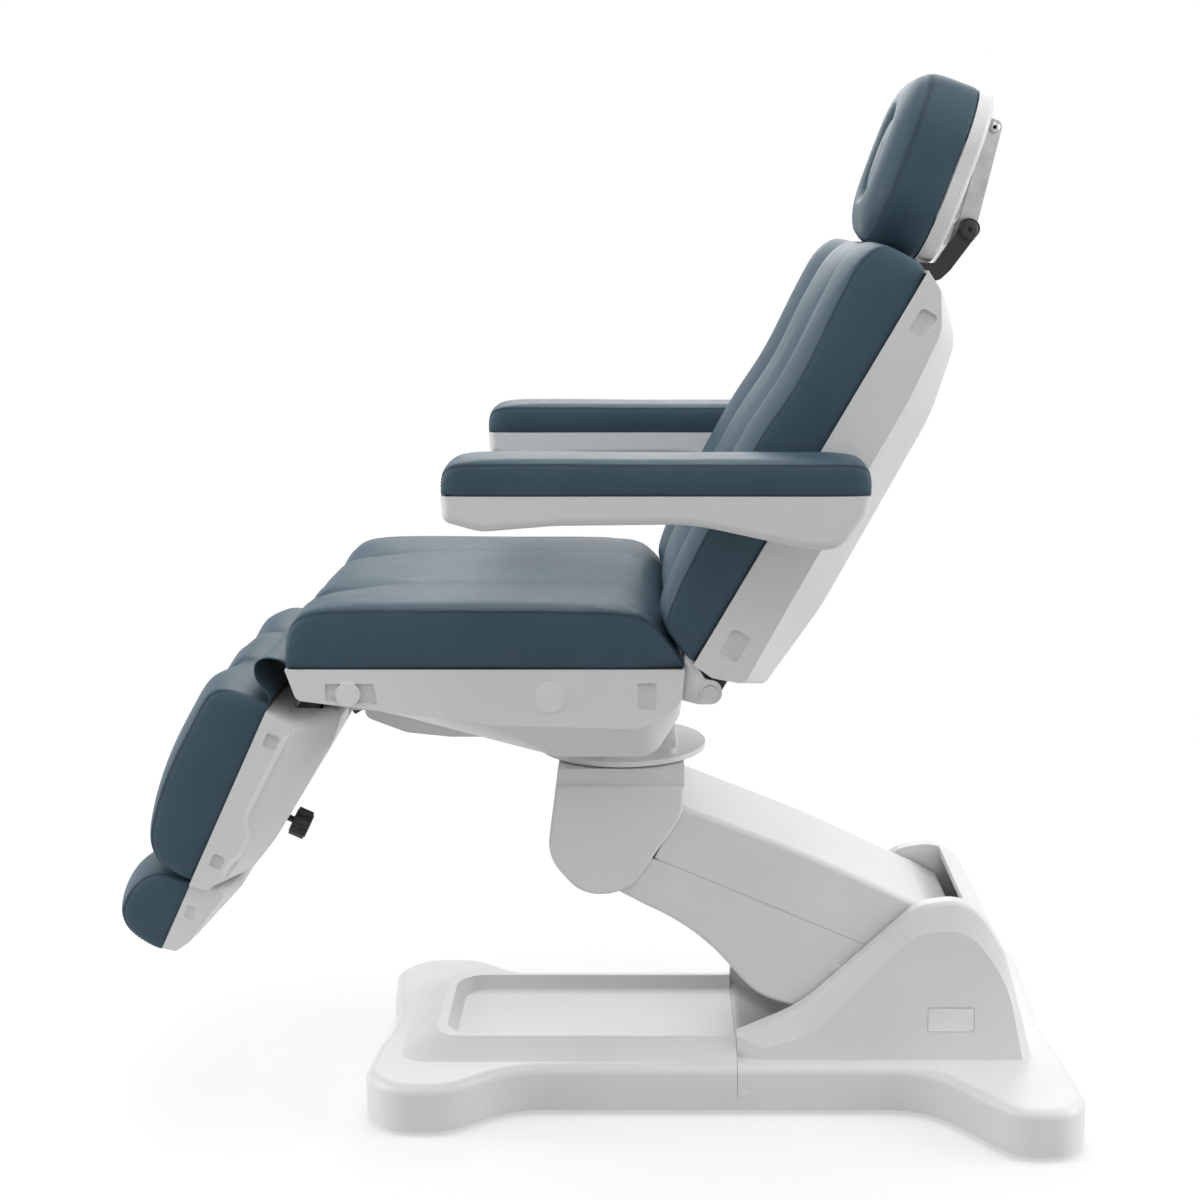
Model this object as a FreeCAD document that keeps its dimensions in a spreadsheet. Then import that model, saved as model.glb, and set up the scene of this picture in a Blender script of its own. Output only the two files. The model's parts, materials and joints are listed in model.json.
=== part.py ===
import FreeCAD, Part
import math
import os

import Sketcher

# Electric treatment table: a padded seat, back, leg and head section on a lifting, swivelling column.
# Frame: +X towards the head end, +Y towards the far side, +Z up, floor at Z = 0, millimetres.

V = FreeCAD.Vector
doc = FreeCAD.newDocument("treatment_table")
sheet = doc.addObject("Spreadsheet::Sheet", "dims")

SIZES = (
    ("section_half", 318, "half width of the seat and back sections"),
    ("leg_half", 305, "half width of the leg section"),
    ("foot_half", 290, "half width of the foot extension"),
    ("shell_wall", 4, "wall of the moulded shells"),
    ("crease_inset", 72, "from a shell's side to the edge of its belly"),
    ("board", 14, "thickness of the plywood boards"),
    ("seat_line", 736, "height of the line between seat shell and seat cushion"),
    ("seat_rear", 115, "rear end of the seat along X"),
    ("seat_length", 562, "length of the seat section"),
    ("seat_edge", 80, "height of the seat cushion at its sewn edge"),
    ("seat_crown", 12, "rise of the seat bolsters above the sewn edge"),
    ("panel_half", 140, "half width of the middle panel of seat and back"),
    ("back_pivot_gap", 38, "from the seat's rear end to the back hinge"),
    ("back_pivot_drop", 52, "from the cushion line down to the back hinge"),
    ("back_angle", 60, "rise of the backrest in degrees"),
    ("back_length", 668, "from the back hinge to the top of the back shell"),
    ("back_depth", 124, "depth of the back shell"),
    ("back_edge", 82, "height of the back cushion at its sewn edge"),
    ("leg_pivot_set", 29, "from the seat's front end back to the leg hinge"),
    ("leg_pivot_drop", 48, "from the cushion line down to the leg hinge"),
    ("leg_angle", 65, "fall of the leg rest in degrees"),
    ("leg_length", 324, "from the leg hinge to the lower end of the leg shell"),
    ("leg_edge", 88, "height of the leg cushion at its sewn edge"),
    ("foot_length", 112, "length of the foot extension"),
    ("foot_edge", 76, "height of the foot cushion at its sewn edge"),
    ("hinge_y", 233, "inner face of the outer hinge plates"),
    ("hinge_plate", 8, "thickness of the hinge plates"),
    ("hinge_pin", 8, "radius of the hinge pins"),
    ("run_gap", 0.05, "running clearance of the shafts"),
    ("arm_gap", 12, "gap between the back section and an armrest"),
    ("arm_width", 120, "width of an armrest"),
    ("arm_length", 568, "length of an armrest"),
    ("arm_height", 40, "height of an armrest pad at its edge"),
    ("swivel_x", 22, "swivel axis along X"),
    ("swivel_top", 549, "top of the swivel plate"),
    ("swivel_radius", 131, "radius of the swivel plate"),
    ("tilt_x", 40, "tilt shaft along X"),
    ("tilt_z", 640, "tilt shaft height"),
    ("lift_length", 547, "pivot to pivot length of the lift arm"),
    ("lift_angle", 23.4, "rise of the lift arm in degrees"),
    ("lift_mid", 16.7, "middle of the lift arm's travel in degrees"),
    ("head_pivot_z", 438, "height of the upper lift pivot"),
    ("lift_half", 121, "half width of the lift arm covers"),
    ("lift_shaft", 15, "radius of the lift arm shafts"),
    ("link_pin", 8, "radius of the levelling bar pins"),
    ("housing_half", 130, "half width of the head housing"),
    ("base_half", 188, "half width of the base at its waist"),
    ("front_foot_half", 260, "half width over the front feet"),
    ("rear_foot_half", 342, "half width over the rear feet"),
    ("base_gap", 10, "floor to the lower edge of the base covers"),
    ("foot_top", 82, "height of the tops of the feet"),
    ("ridge_top", 106, "height of the ridges beside the trough"),
    ("trough_floor", 88, "height of the trough floor"),
    ("cheek_half", 165, "half width over the rear cheeks"),
    ("well_half", 127, "half width of the well between the cheeks"),
)

for row, (alias, size, note) in enumerate(SIZES, 1):
    sheet.set(f"A{row}", note)
    sheet.set(f"B{row}", str(size))
    sheet.setAlias(f"B{row}", alias)
doc.recompute()


class Sizes:
    """The driving dimensions as numbers, read from the sheet."""

    def __getattr__(self, name):
        return float(sheet.get(name))


d = Sizes()
nodes = []


# Outlines

def rounded(corners):
    """Lines and arcs of a closed outline given as (a, b) or (a, b, radius) corners."""
    count = len(corners)
    bends = []
    for i, corner in enumerate(corners):
        here = V(corner[0], corner[1])
        radius = corner[2] if len(corner) > 2 else 0
        if radius <= 0:
            bends.append((here, None, here))
            continue
        to_last = (V(*corners[i - 1][:2]) - here).normalize()
        to_next = (V(*corners[(i + 1) % count][:2]) - here).normalize()
        half = to_last.getAngle(to_next) / 2
        reach = radius / math.tan(half)
        middle = (to_last + to_next).normalize()
        crown = here + middle * (radius / math.sin(half) - radius)
        bends.append((here + to_last * reach, crown, here + to_next * reach))
    edges = []
    for i, (start, crown, end) in enumerate(bends):
        if crown is not None:
            edges.append(Part.Arc(start, crown, end))
        edges.append(Part.LineSegment(end, bends[(i + 1) % count][0]))
    return edges


def inset(corners, wall, open_edges=()):
    """The outline moved inwards by a wall; an open edge moves out by 1 instead."""
    count = len(corners)
    ring = list(zip(corners, corners[1:] + corners[:1]))
    turn = 1 if sum(a[0] * b[1] - b[0] * a[1] for a, b in ring) > 0 else -1
    lines = []
    for i, (a, b) in enumerate(ring):
        along = (V(*b[:2]) - V(*a[:2])).normalize()
        step = -1 if i in open_edges else wall
        lines.append((V(*a[:2]) + V(-along.y, along.x) * turn * step, along))
    moved = []
    for i in range(count):
        (p, t), (q, u) = lines[i - 1], lines[i]
        cross = t.x * u.y - t.y * u.x
        gap = q - p
        at = q if abs(cross) < 1e-6 else p + t * ((gap.x * u.y - gap.y * u.x) / cross)
        radius = corners[i][2] if len(corners[i]) > 2 else 0
        if radius > 0:
            radius = max(radius - wall, 1) if cross * turn > 0 else radius + wall
        moved.append((at.x, at.y, radius))
    return moved


def rectangle(a0, a1, b0, b1, radius=0):
    return [(a0, b0, radius), (a1, b0, radius), (a1, b1, radius), (a0, b1, radius)]


def both_sides(spine, side):
    """A plan outline from a point on the middle line and the corners of its -Y side."""
    far = [(x, -y, r) for x, y, r in reversed(side)]
    return [spine] + side + far


# Bodies and features

def new_body(label, place=None, node=True):
    body = doc.addObject("PartDesign::Body", label)
    body.Label = label
    if place is not None:
        body.Placement = place
    if node:
        nodes.append(body)
    return body


def sketch(body, role, edges, offset):
    """A sketch on an origin plane of the body, moved along its normal by an expression."""
    sk = body.newObject("Sketcher::SketchObject", body.Name + "_sketch")
    plane = [o for o in body.Origin.OriginFeatures if o.Role == role][0]
    sk.AttachmentSupport = [(plane, "")]
    sk.MapMode = "FlatFace"
    sk.setExpression("AttachmentOffset.Base.z", offset)
    sk.addGeometry(edges, False)
    return sk


def circle(a, b, radius):
    return Part.Circle(V(a, b), V(0, 0, 1), radius)


def start_of(role, lo, hi):
    """The XZ plane faces -Y, so a pad from it starts at the high end."""
    return f"-({hi})" if role == "XZ_Plane" else lo


def pad(body, role, corners, lo, hi, holes=()):
    """Material between two planes lo and hi, given as expressions."""
    edges = rounded(corners) + [circle(*hole) for hole in holes]
    feature = body.newObject("PartDesign::Pad", body.Name + "_pad")
    feature.Profile = sketch(body, role, edges, start_of(role, lo, hi))
    feature.setExpression("Length", f"({hi}) - ({lo})")
    doc.recompute()
    return feature


def disc(body, role, a, b, radius, lo, hi):
    """A round pad whose radius is an expression."""
    sk = sketch(body, role, [circle(a, b, 10)], start_of(role, lo, hi))
    sk.addConstraint(Sketcher.Constraint("Radius", 0, 10))
    sk.setExpression("Constraints[0]", radius)
    feature = body.newObject("PartDesign::Pad", body.Name + "_disc")
    feature.Profile = sk
    feature.setExpression("Length", f"({hi}) - ({lo})")
    doc.recompute()
    return feature


def pocket(body, role, edges, lo, hi):
    """Material taken away between two planes."""
    feature = body.newObject("PartDesign::Pocket", body.Name + "_pocket")
    at = f"-({lo})" if role == "XZ_Plane" else hi
    feature.Profile = sketch(body, role, edges, at)
    feature.setExpression("Length", f"({hi}) - ({lo})")
    doc.recompute()
    return feature


def loft(body, kind, role, sections):
    """A ruled loft through (edges, offset) sections."""
    sketches = [sketch(body, role, edges, offset) for edges, offset in sections]
    feature = body.newObject(f"PartDesign::{kind}Loft", body.Name + "_loft")
    feature.Profile = sketches[0]
    feature.Sections = sketches[1:]
    feature.Ruled = True
    doc.recompute()
    return feature


def soften(body, radius, wanted):
    """A fillet on the edges of the body's last feature that a test picks."""
    last = body.Tip
    picks = [f"Edge{i}" for i, edge in enumerate(last.Shape.Edges, 1) if wanted(edge)]
    feature = body.newObject("PartDesign::Fillet", body.Name + "_fillet")
    feature.Base = (last, picks)
    feature.Radius = radius
    doc.recompute()
    return feature


def group(label, members):
    """Separate solids that share one node."""
    compound = doc.addObject("Part::Compound", label)
    compound.Label = label
    compound.Links = members
    nodes.append(compound)
    return compound


def mirrored(body):
    twin = doc.addObject("Part::Mirroring", body.Name + "_twin")
    twin.Source = body
    twin.Normal = V(0, 1, 0)
    return twin


def pair(label, body):
    return group(label, [body, mirrored(body)])


def plate(label, corners, lo, hi, holes=(), place=None, node=True):
    """A flat plate in the XZ plane between two Y planes."""
    body = new_body(label, place, node)
    pad(body, "XZ_Plane", corners, lo, hi, holes)
    return body


def block(label, x, y, z, place=None, node=True, radius=0):
    """A block from (low, high) number pairs in X and Z and expressions in Y."""
    return plate(label, rectangle(*x, *z, radius), y[0], y[1], (), place, node)


def shaft(label, x, z, radius, lo, hi, place=None, node=True):
    """A round bar along Y."""
    body = new_body(label, place, node)
    disc(body, "XZ_Plane", x, z, radius, lo, hi)
    return body


def section_frame(x, z, rise, turned=False):
    """A frame at a pivot: x along the section, z out of its cushion side."""
    lean = FreeCAD.Rotation(V(0, -1, 0), rise)
    if turned:
        lean = lean.multiply(FreeCAD.Rotation(V(0, 0, 1), 180))
    return FreeCAD.Placement(V(x, 0, z), lean)


def lever_bar(length, half, root_half):
    """A bar with a round end at the origin and a round end at its length."""
    return [(-root_half, -root_half, root_half * 0.98), (length + half, -half, half * 0.98),
            (length + half, half, half * 0.98), (-root_half, root_half, root_half * 0.98)]


def lobed(body, outline, top, radius, split):
    """The lower tier of a base cover, with its top edge rolled except at the split line."""
    pad(body, "XY_Plane", outline, "dims.base_gap", top)
    height = d.foot_top

    def on_top(edge):
        box = edge.BoundBox
        at_split = abs(box.XMin - split) < 0.1 and abs(box.XMax - split) < 0.1
        return box.ZMin > height - 0.1 and not at_split

    soften(body, radius, on_top)


def pan(label, place, rim, belly, half, belly_half, rim_edge=0):
    """A hollow shell: a side outline at its two sides and a deeper one along its belly."""
    body = new_body(label, place)
    spread = (f"-({half})", f"-({belly_half})", belly_half, half)
    outer = (rim, belly, belly, rim)
    loft(body, "Additive", "XZ_Plane", [(rounded(c), o) for c, o in zip(outer, spread)])
    wall = "dims.shell_wall"
    inside = (f"-({half}) + {wall}", f"-({belly_half}) + {wall} / 2",
              f"({belly_half}) - {wall} / 2", f"({half}) - {wall}")
    inner = [inset(c, d.shell_wall, (rim_edge,)) for c in outer]
    loft(body, "Subtractive", "XZ_Plane", [(rounded(c), o) for c, o in zip(inner, inside)])
    return body


def hollow_sides(body, outlines, half, boss=True):
    """Moulded hollows in both side faces, each with a boss behind it where the wall is thin."""
    deep = HOLLOW if boss else HOLLOW / 2
    for outline in outlines:
        if boss:
            pad(body, "XZ_Plane", inset(outline, -3), f"-({half}) + 1", f"-({half}) + {deep + 3}")
            pad(body, "XZ_Plane", inset(outline, -3), f"({half}) - {deep + 3}", f"({half}) - 1")
        pocket(body, "XZ_Plane", rounded(outline), f"-({half}) - 1", f"-({half}) + {deep}")
        pocket(body, "XZ_Plane", rounded(outline), f"({half}) - {deep}", f"({half}) + 1")


def cushion_section(half, edge, crown, panel, groove, base):
    """Flat underside, sides drawn in at the foot, two bolsters and a middle panel between grooves."""
    tuck = 0.03 * edge
    top = edge + crown
    side = [V(-half, base), V(-half - tuck, base + 0.5 * edge), V(-half + 0.1 * edge, base + edge),
            V(-(half + panel) / 2, base + top), V(-panel, base + top - groove),
            V(0, base + top - 0.3 * groove)]
    points = side + [V(-p.x, p.y) for p in side[-2::-1]]
    arcs = [Part.Arc(*points[i:i + 3]) for i in range(0, len(points) - 2, 2)]
    return arcs + [Part.LineSegment(points[-1], points[0])]


def cushion(label, place, half, edge, crown, panel, groove, base, stations):
    """A cushion lofted along X through stations (x, share of the edge height, inset of the sides, lift)."""
    body = new_body(label, place)
    sections = []
    for x, share, drawn, lift in stations:
        tall, rise, dip = edge * share, crown * share, groove * share
        section = cushion_section(half - drawn, tall, rise, panel, dip, base + lift)
        sections.append((section, str(x)))
    loft(body, "Additive", "YZ_Plane", sections)
    return body


def actuator(label, place, y, z, box, tube, motor, top):
    """Gear box with an in-line motor at one side and a bored tube at the other, all along X."""
    body = new_body(label, place)
    pad(body, "XZ_Plane", rectangle(box[0], box[1], z - 26, top, 4), f"{y} - 27", f"{y} + 27")
    disc(body, "YZ_Plane", y, z, "18", str(tube[0]), str(tube[1]))
    disc(body, "YZ_Plane", y, z, "23", str(motor[0]), str(motor[1]))
    bore = [circle(y, z, 10 + d.run_gap)]
    pocket(body, "YZ_Plane", bore, str(tube[0] - 1), str(tube[1] + 1))
    return body


def actuator_rod(label, place, y, z, pin_x, inner_x):
    """Round rod with a fork and a cross pin that runs in a slotted crank."""
    body = new_body(label, place)
    out = 1 if pin_x > inner_x else -1
    neck, tip = pin_x - out * 38, pin_x + out * 11
    root, mouth = neck + out * 6, tip + out
    disc(body, "YZ_Plane", y, z, "10", str(min(neck, inner_x)), str(max(neck, inner_x)))
    fork = rectangle(min(neck, tip), max(neck, tip), z - 10, z + 10, 3)
    pad(body, "XZ_Plane", fork, f"{y} - 15", f"{y} + 15")
    gap = rectangle(min(root, mouth), max(root, mouth), z - 11, z + 11)
    pocket(body, "XZ_Plane", rounded(gap), f"{y} - 7", f"{y} + 7")
    disc(body, "XZ_Plane", pin_x, z, "6", f"{y} - 15", f"{y} + 15")
    return body


def crank(label, place, y, reach, hub, bore):
    """Slotted lever hanging down from a hub at the origin; the slot lies along the lever."""
    body = new_body(label, place, False)
    low, high = f"{y} - 6", f"{y} + 6"
    disc(body, "XZ_Plane", 0, 0, str(hub), low, high)
    pad(body, "XZ_Plane", rectangle(-15, 15, -(reach + 24), 0, 3), low, high)
    pocket(body, "XZ_Plane", [circle(0, 0, bore + d.run_gap)], f"{y} - 7", f"{y} + 7")
    slot = rectangle(-8.4, 8.4, -(reach + 18), -(reach - 8), 8.2)
    pocket(body, "XZ_Plane", rounded(slot), f"{y} - 7", f"{y} + 7")
    return body


# Places worked out from the driving dimensions

seat_front = d.seat_rear - d.seat_length
drive_x = seat_front + d.seat_length / 2
arm_in = d.section_half + d.arm_gap
back_x, back_z = d.seat_rear + d.back_pivot_gap, d.seat_line - d.back_pivot_drop
leg_x, leg_z = seat_front + d.leg_pivot_set, d.seat_line - d.leg_pivot_drop
rise = math.radians(d.lift_angle)
head_x, head_z = d.swivel_x - 14, d.head_pivot_z
foot_x, foot_z = head_x + d.lift_length * math.cos(rise), head_z - d.lift_length * math.sin(rise)
LINK_DX, LINK_DZ = 18, 48
CHEEK_BEVEL = 14
HOLLOW = 6
split = foot_x - 310
base_front, base_rear = foot_x - 876, foot_x + 204
BACK = section_frame(back_x, back_z, d.back_angle)
LEG = section_frame(leg_x, leg_z, d.leg_angle, True)
ARM = section_frame(foot_x, foot_z, -d.lift_angle, True)
BACK_MIDDLE, LEG_MIDDLE = 30, 32.5
HINGE_OUT = "dims.hinge_y + dims.hinge_plate"
ARM_IN = "(dims.section_half + dims.arm_gap)"
LEVER_IN = "dims.hinge_y - dims.hinge_plate - 0.5"
LEVER_OUT = "dims.hinge_y - 0.5"


def make_base_frame():
    rail_in, rail_out = "dims.well_half + 6", "dims.well_half + 34"
    rail = block("base_rail", (base_front + 96, foot_x + 110), (rail_in, rail_out), (20, 60), node=False)
    front = block("base_front_bar", (base_front + 56, base_front + 96),
                  ("-dims.front_foot_half + 32", "dims.front_foot_half - 32"), (20, 60), node=False)
    rear = block("base_rear_bar", (foot_x + 110, foot_x + 150),
                 ("-dims.rear_foot_half + 36", "dims.rear_foot_half - 36"), (20, 60), node=False)
    top = foot_z + LINK_DZ + 16
    corners = [(foot_x - 90, 60), (foot_x + 84, 60), (foot_x + 46, top, 24), (foot_x - 22, top, 24)]
    fit = d.run_gap
    holes = [(foot_x, foot_z, d.lift_shaft + fit), (foot_x + LINK_DX, foot_z + LINK_DZ, d.link_pin + fit)]
    tower = plate("pivot_tower", corners, "dims.well_half + 12", "dims.well_half + 24", holes, node=False)
    group("base_frame", [rail, mirrored(rail), front, rear, tower, mirrored(tower)])


def make_lower_pivots():
    reach = "dims.well_half + 25"
    main = shaft("lower_shaft", foot_x, foot_z, "dims.lift_shaft", f"-({reach})", reach, node=False)
    pin = shaft("lower_link_pin", foot_x + LINK_DX, foot_z + LINK_DZ, "dims.link_pin",
                f"-({reach})", reach, node=False)
    lean = section_frame(foot_x, foot_z, -d.lift_mid, True)
    arm = crank("lift_crank", lean, 0, 58, 26, d.lift_shaft)
    group("lower_pivots", [main, pin, arm])


def front_outline():
    side = [(base_front + 4, -105, 120), (base_front - 4, -(d.front_foot_half - 57), 50),
            (base_front + 36, -d.front_foot_half, 70), (base_front + 131, -d.front_foot_half, 80),
            (base_front + 216, -d.base_half, 140), (split, -d.base_half, 0)]
    return both_sides((base_front + 27, 0, 250), side)


def make_front_cover():
    body = new_body("base_front_cover")
    outline = front_outline()
    lobed(body, outline, "dims.foot_top", 15, split)
    foot = [(base_front + 36, -d.base_half + 10, 40), (split, -d.base_half + 10, 0),
            (split, d.base_half - 10, 0), (base_front + 36, d.base_half - 10, 40)]
    crest = [(base_front + 96, -128, 40), (split, -128, 0), (split, 128, 0), (base_front + 96, 128, 40)]
    ridge = [(rounded(foot), "dims.foot_top - 4"), (rounded(crest), "dims.ridge_top")]
    loft(body, "Additive", "XY_Plane", ridge)

    def trough_at(front, half):
        return rounded([(front, -half, 45), (split + 1, -half, 0), (split + 1, half, 0), (front, half, 45)])

    low, high = trough_at(base_front + 126, 104), trough_at(base_front + 110, 121)
    loft(body, "Subtractive", "XY_Plane", [(low, "dims.trough_floor"), (high, "dims.ridge_top + 1")])
    count = len(outline)
    inner = inset(outline, d.shell_wall + 2, (count // 2,))
    pocket(body, "XY_Plane", rounded(inner), "dims.base_gap - 1", "dims.foot_top - dims.shell_wall - 2")
    core = d.base_half - 36
    upper = [(base_front + 68, -core, 34), (split + 1, -core), (split + 1, core), (base_front + 68, core, 34)]
    pocket(body, "XY_Plane", rounded(upper), "dims.base_gap - 1", "dims.trough_floor - dims.shell_wall")


def rear_outline():
    side = [(base_rear - 8, -120, 150), (base_rear, -(d.rear_foot_half - 57), 40),
            (base_rear - 24, -d.rear_foot_half, 52), (base_rear - 112, -d.rear_foot_half, 60),
            (base_rear - 222, -d.base_half, 120), (split + 0.6, -d.base_half, 0)]
    return both_sides((base_rear - 18, 0, 300), side)


def hump_outline():
    return [(split + 0.6, 70), (split + 0.6, 116), (foot_x - 210, 160, 240), (foot_x - 32, 328, 60),
            (foot_x + 50, 340, 70), (foot_x + 100, 258, 150), (foot_x + 152, 70)]


def cheek_outline():
    """The flat of a cheek; a broad bevel runs from it out to the hump's outline."""
    return [(foot_x - 266, 70), (foot_x - 266, 101), (foot_x - 196, 124, 90), (foot_x - 40, 284, 60),
            (foot_x + 40, 298, 70), (foot_x + 106, 204, 220), (foot_x + 134, 70)]


def well_outline(grow):
    """The arm's well: its bed runs on from the trough, dips under the arm and rises behind the lower pivot."""
    x, z = foot_x + grow, foot_z
    low, floor = z - grow, d.trough_floor - grow
    bed = d.trough_floor - 42 - grow
    return [(split - 10, floor), (split - 10, 420), (x + 38, 420), (x + 38, z + 92, 20), (x + 96, z + 44, 60),
            (x + 96, z - 50, 60), (x + 20, low - 104, 60), (x - 84, low - 136, 30), (x - 118, bed, 25),
            (split + 92, bed, 60), (split + 6, floor, 30)]


def make_rear_cover():
    outer = new_body("rear_cover_outside", node=False)
    outline = rear_outline()
    lobed(outer, outline, "dims.foot_top", 15, split + 0.6)
    rim_y = d.cheek_half - CHEEK_BEVEL
    hump_at = ("-dims.cheek_half", str(-rim_y), str(rim_y), "dims.cheek_half")
    outlines = (cheek_outline(), hump_outline(), hump_outline(), cheek_outline())
    loft(outer, "Additive", "XZ_Plane", [(rounded(c), at) for c, at in zip(outlines, hump_at)])

    def hump_rim(edge):
        box = edge.BoundBox
        at_side = box.YLength < 0.1 and abs(abs(box.YMin) - rim_y) < 0.1
        return at_side and box.ZMax > 120 and box.XMax > split + 2

    soften(outer, 9, hump_rim)
    badge = rectangle(foot_x - 17, foot_x + 55, 128, 168, 4)
    pocket(outer, "XZ_Plane", rounded(badge), "-dims.cheek_half - 1", "-dims.cheek_half + 1.5")
    inlet = rectangle(-77, -43, 24, 50, 2)
    pocket(outer, "YZ_Plane", rounded(inlet), str(base_rear - 40), str(base_rear + 2))

    hollow = new_body("rear_cover_inside", node=False)
    count = len(outline)
    inner = inset(outline, d.shell_wall + 2, (count // 2,))
    pad(hollow, "XY_Plane", inner, "dims.base_gap - 1", "dims.foot_top - dims.shell_wall - 2")
    inside_y = (-d.cheek_half + d.shell_wall, -rim_y + 3, rim_y - 3, d.cheek_half - d.shell_wall)
    cores = [rounded(inset(c, d.shell_wall, (6,))) for c in outlines]
    loft(hollow, "Additive", "XZ_Plane", [(c, str(y)) for c, y in zip(cores, inside_y)])
    wall = "dims.well_half + dims.shell_wall"
    pocket(hollow, "XZ_Plane", rounded(well_outline(d.shell_wall)), f"-({wall})", wall)

    well = plate("rear_cover_well", well_outline(0), "-dims.well_half", "dims.well_half", node=False)
    for x, z, pin in ((foot_x, foot_z, "dims.lift_shaft"),
                      (foot_x + LINK_DX, foot_z + LINK_DZ, "dims.link_pin")):
        disc(well, "XZ_Plane", x, z, f"{pin} + 1", f"-({wall} + 1)", f"{wall} + 1")
    shell = doc.addObject("Part::Cut", "rear_cover_shell")
    shell.Base = outer
    shell.Tool = hollow
    cover = doc.addObject("Part::Cut", "base_rear_cover")
    cover.Label = "base_rear_cover"
    cover.Base = shell
    cover.Tool = well
    nodes.append(cover)


def make_base_small_parts():
    feet = []
    spots = ((base_front + 76, d.front_foot_half - 55), (foot_x + 130, d.rear_foot_half - 56))
    for i, (x, y) in enumerate(spots):
        for side in (-1, 1):
            foot = new_body(f"levelling_foot_{i}{side + 1}", node=False)
            disc(foot, "XY_Plane", x, side * y, "22", "0", "8")
            disc(foot, "XY_Plane", x, side * y, "7", "7", "20")
            feet.append(foot)
    group("levelling_feet", feet)
    block("control_box", (foot_x + 14, foot_x + 110), ("-95", "95"), (22, 88), radius=4)
    inlet = new_body("power_inlet")
    wall_x = base_rear - 18 + 3
    pad(inlet, "YZ_Plane", rectangle(-76.5, -43.5, 24.5, 49.5, 2), str(wall_x - 24), str(wall_x + 1))
    pocket(inlet, "YZ_Plane", rounded(rectangle(-72, -48, 29, 45, 3)), str(wall_x - 16), str(wall_x + 2))
    for y in (-66, -60, -54):
        pad(inlet, "YZ_Plane", rectangle(y - 1, y + 1, 34, 40), str(wall_x - 17), str(wall_x - 6))
    button = new_body("base_cover_screw", node=False)
    disc(button, "XZ_Plane", split + 12, 36, "6", "dims.base_half", "dims.base_half + 2")
    pair("base_cover_screws", button)


def make_lift_arm():
    length = d.lift_length
    holes = [(0, 0, d.lift_shaft + d.run_gap), (length, 0, d.lift_shaft + d.run_gap)]
    beam = plate("lift_beam", lever_bar(length, 32, 32), "85", "97", holes, ARM, False)
    parts = [beam, mirrored(beam)]
    for x in (260, length - 120):
        parts.append(shaft(f"lift_spreader_{len(parts)}", x, 0, "14", "-85", "85", ARM, False))
    for x, z, radius in ((200, 8, "12"), (length - 200, 8, "12"), (160, -24, "7"), (length - 160, -24, "7")):
        foot = shaft(f"cover_standoff_{len(parts)}", x, z, radius, "97", "dims.lift_half - 3", ARM, False)
        parts += [foot, mirrored(foot)]
    group("lift_arm_frame", parts)

    upper = new_body("arm_upper_cover", ARM)
    crest = [(15, -14.2), (45, 78, 5), (length * 0.46, 85, 1500), (length - 85, 79), (length - 77, -14.2)]
    pad(upper, "XZ_Plane", crest, "-dims.lift_half", "dims.lift_half")

    def top_rim(edge):
        box = edge.BoundBox
        at_side = box.YLength < 0.1 and abs(abs(box.YMin) - d.lift_half) < 0.1
        return at_side and box.ZMin > 60 and edge.Length > 60

    soften(upper, 9, top_rim)
    low, high = "-dims.lift_half + 3", "dims.lift_half - 3"
    pocket(upper, "XZ_Plane", rounded(inset(crest, 3, (4, 3, 0))), low, high)
    hood = [(48, 74.8), (48, 77.6), (-4, 71.5), (-4, 68.5)]
    pad(upper, "XZ_Plane", hood, "-dims.lift_half + 2", "dims.lift_half - 2")

    lower = new_body("arm_lower_cover", ARM)
    keel = [(length - 77, -14.8), (length - 12, -24, 18), (length - 4, -84, 26), (length - 100, -92, 100),
            (length * 0.67, -94, 340), (length * 0.43, -158, 110), (length * 0.2, -146, 60), (26, -92, 30),
            (15, -14.8)]
    pad(lower, "XZ_Plane", keel, "-dims.lift_half", "dims.lift_half")

    def low_rim(edge):
        box = edge.BoundBox
        at_side = box.YLength < 0.1 and abs(abs(box.YMin) - d.lift_half) < 0.1
        return at_side and box.Center.z < -40 and 60 < box.Center.x < length - 30

    soften(lower, 8, low_rim)
    pocket(lower, "XZ_Plane", rounded(inset(keel, 3, (0, 1, 8, 7))), low, high)
    button = new_body("arm_cover_screw", ARM, False)
    disc(button, "XZ_Plane", 136, -68, "7", "dims.lift_half", "dims.lift_half + 2.5")
    pair("arm_cover_screws", button)

    actuator("lift_actuator", ARM, 0, -58, (235, 285), (80, 236), (284, 384), -14.2)
    pin_x = -58 * math.tan(math.radians(d.lift_angle - d.lift_mid))
    actuator_rod("lift_actuator_rod", ARM, 0, -58, pin_x, 190)

    link = section_frame(foot_x + LINK_DX, foot_z + LINK_DZ, -d.lift_angle, True)
    holes = [(0, 0, d.link_pin + d.run_gap), (length, 0, d.link_pin + 0.6)]
    plate("levelling_bar", lever_bar(length, 14, 14), "-6", "6", holes, link)


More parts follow.
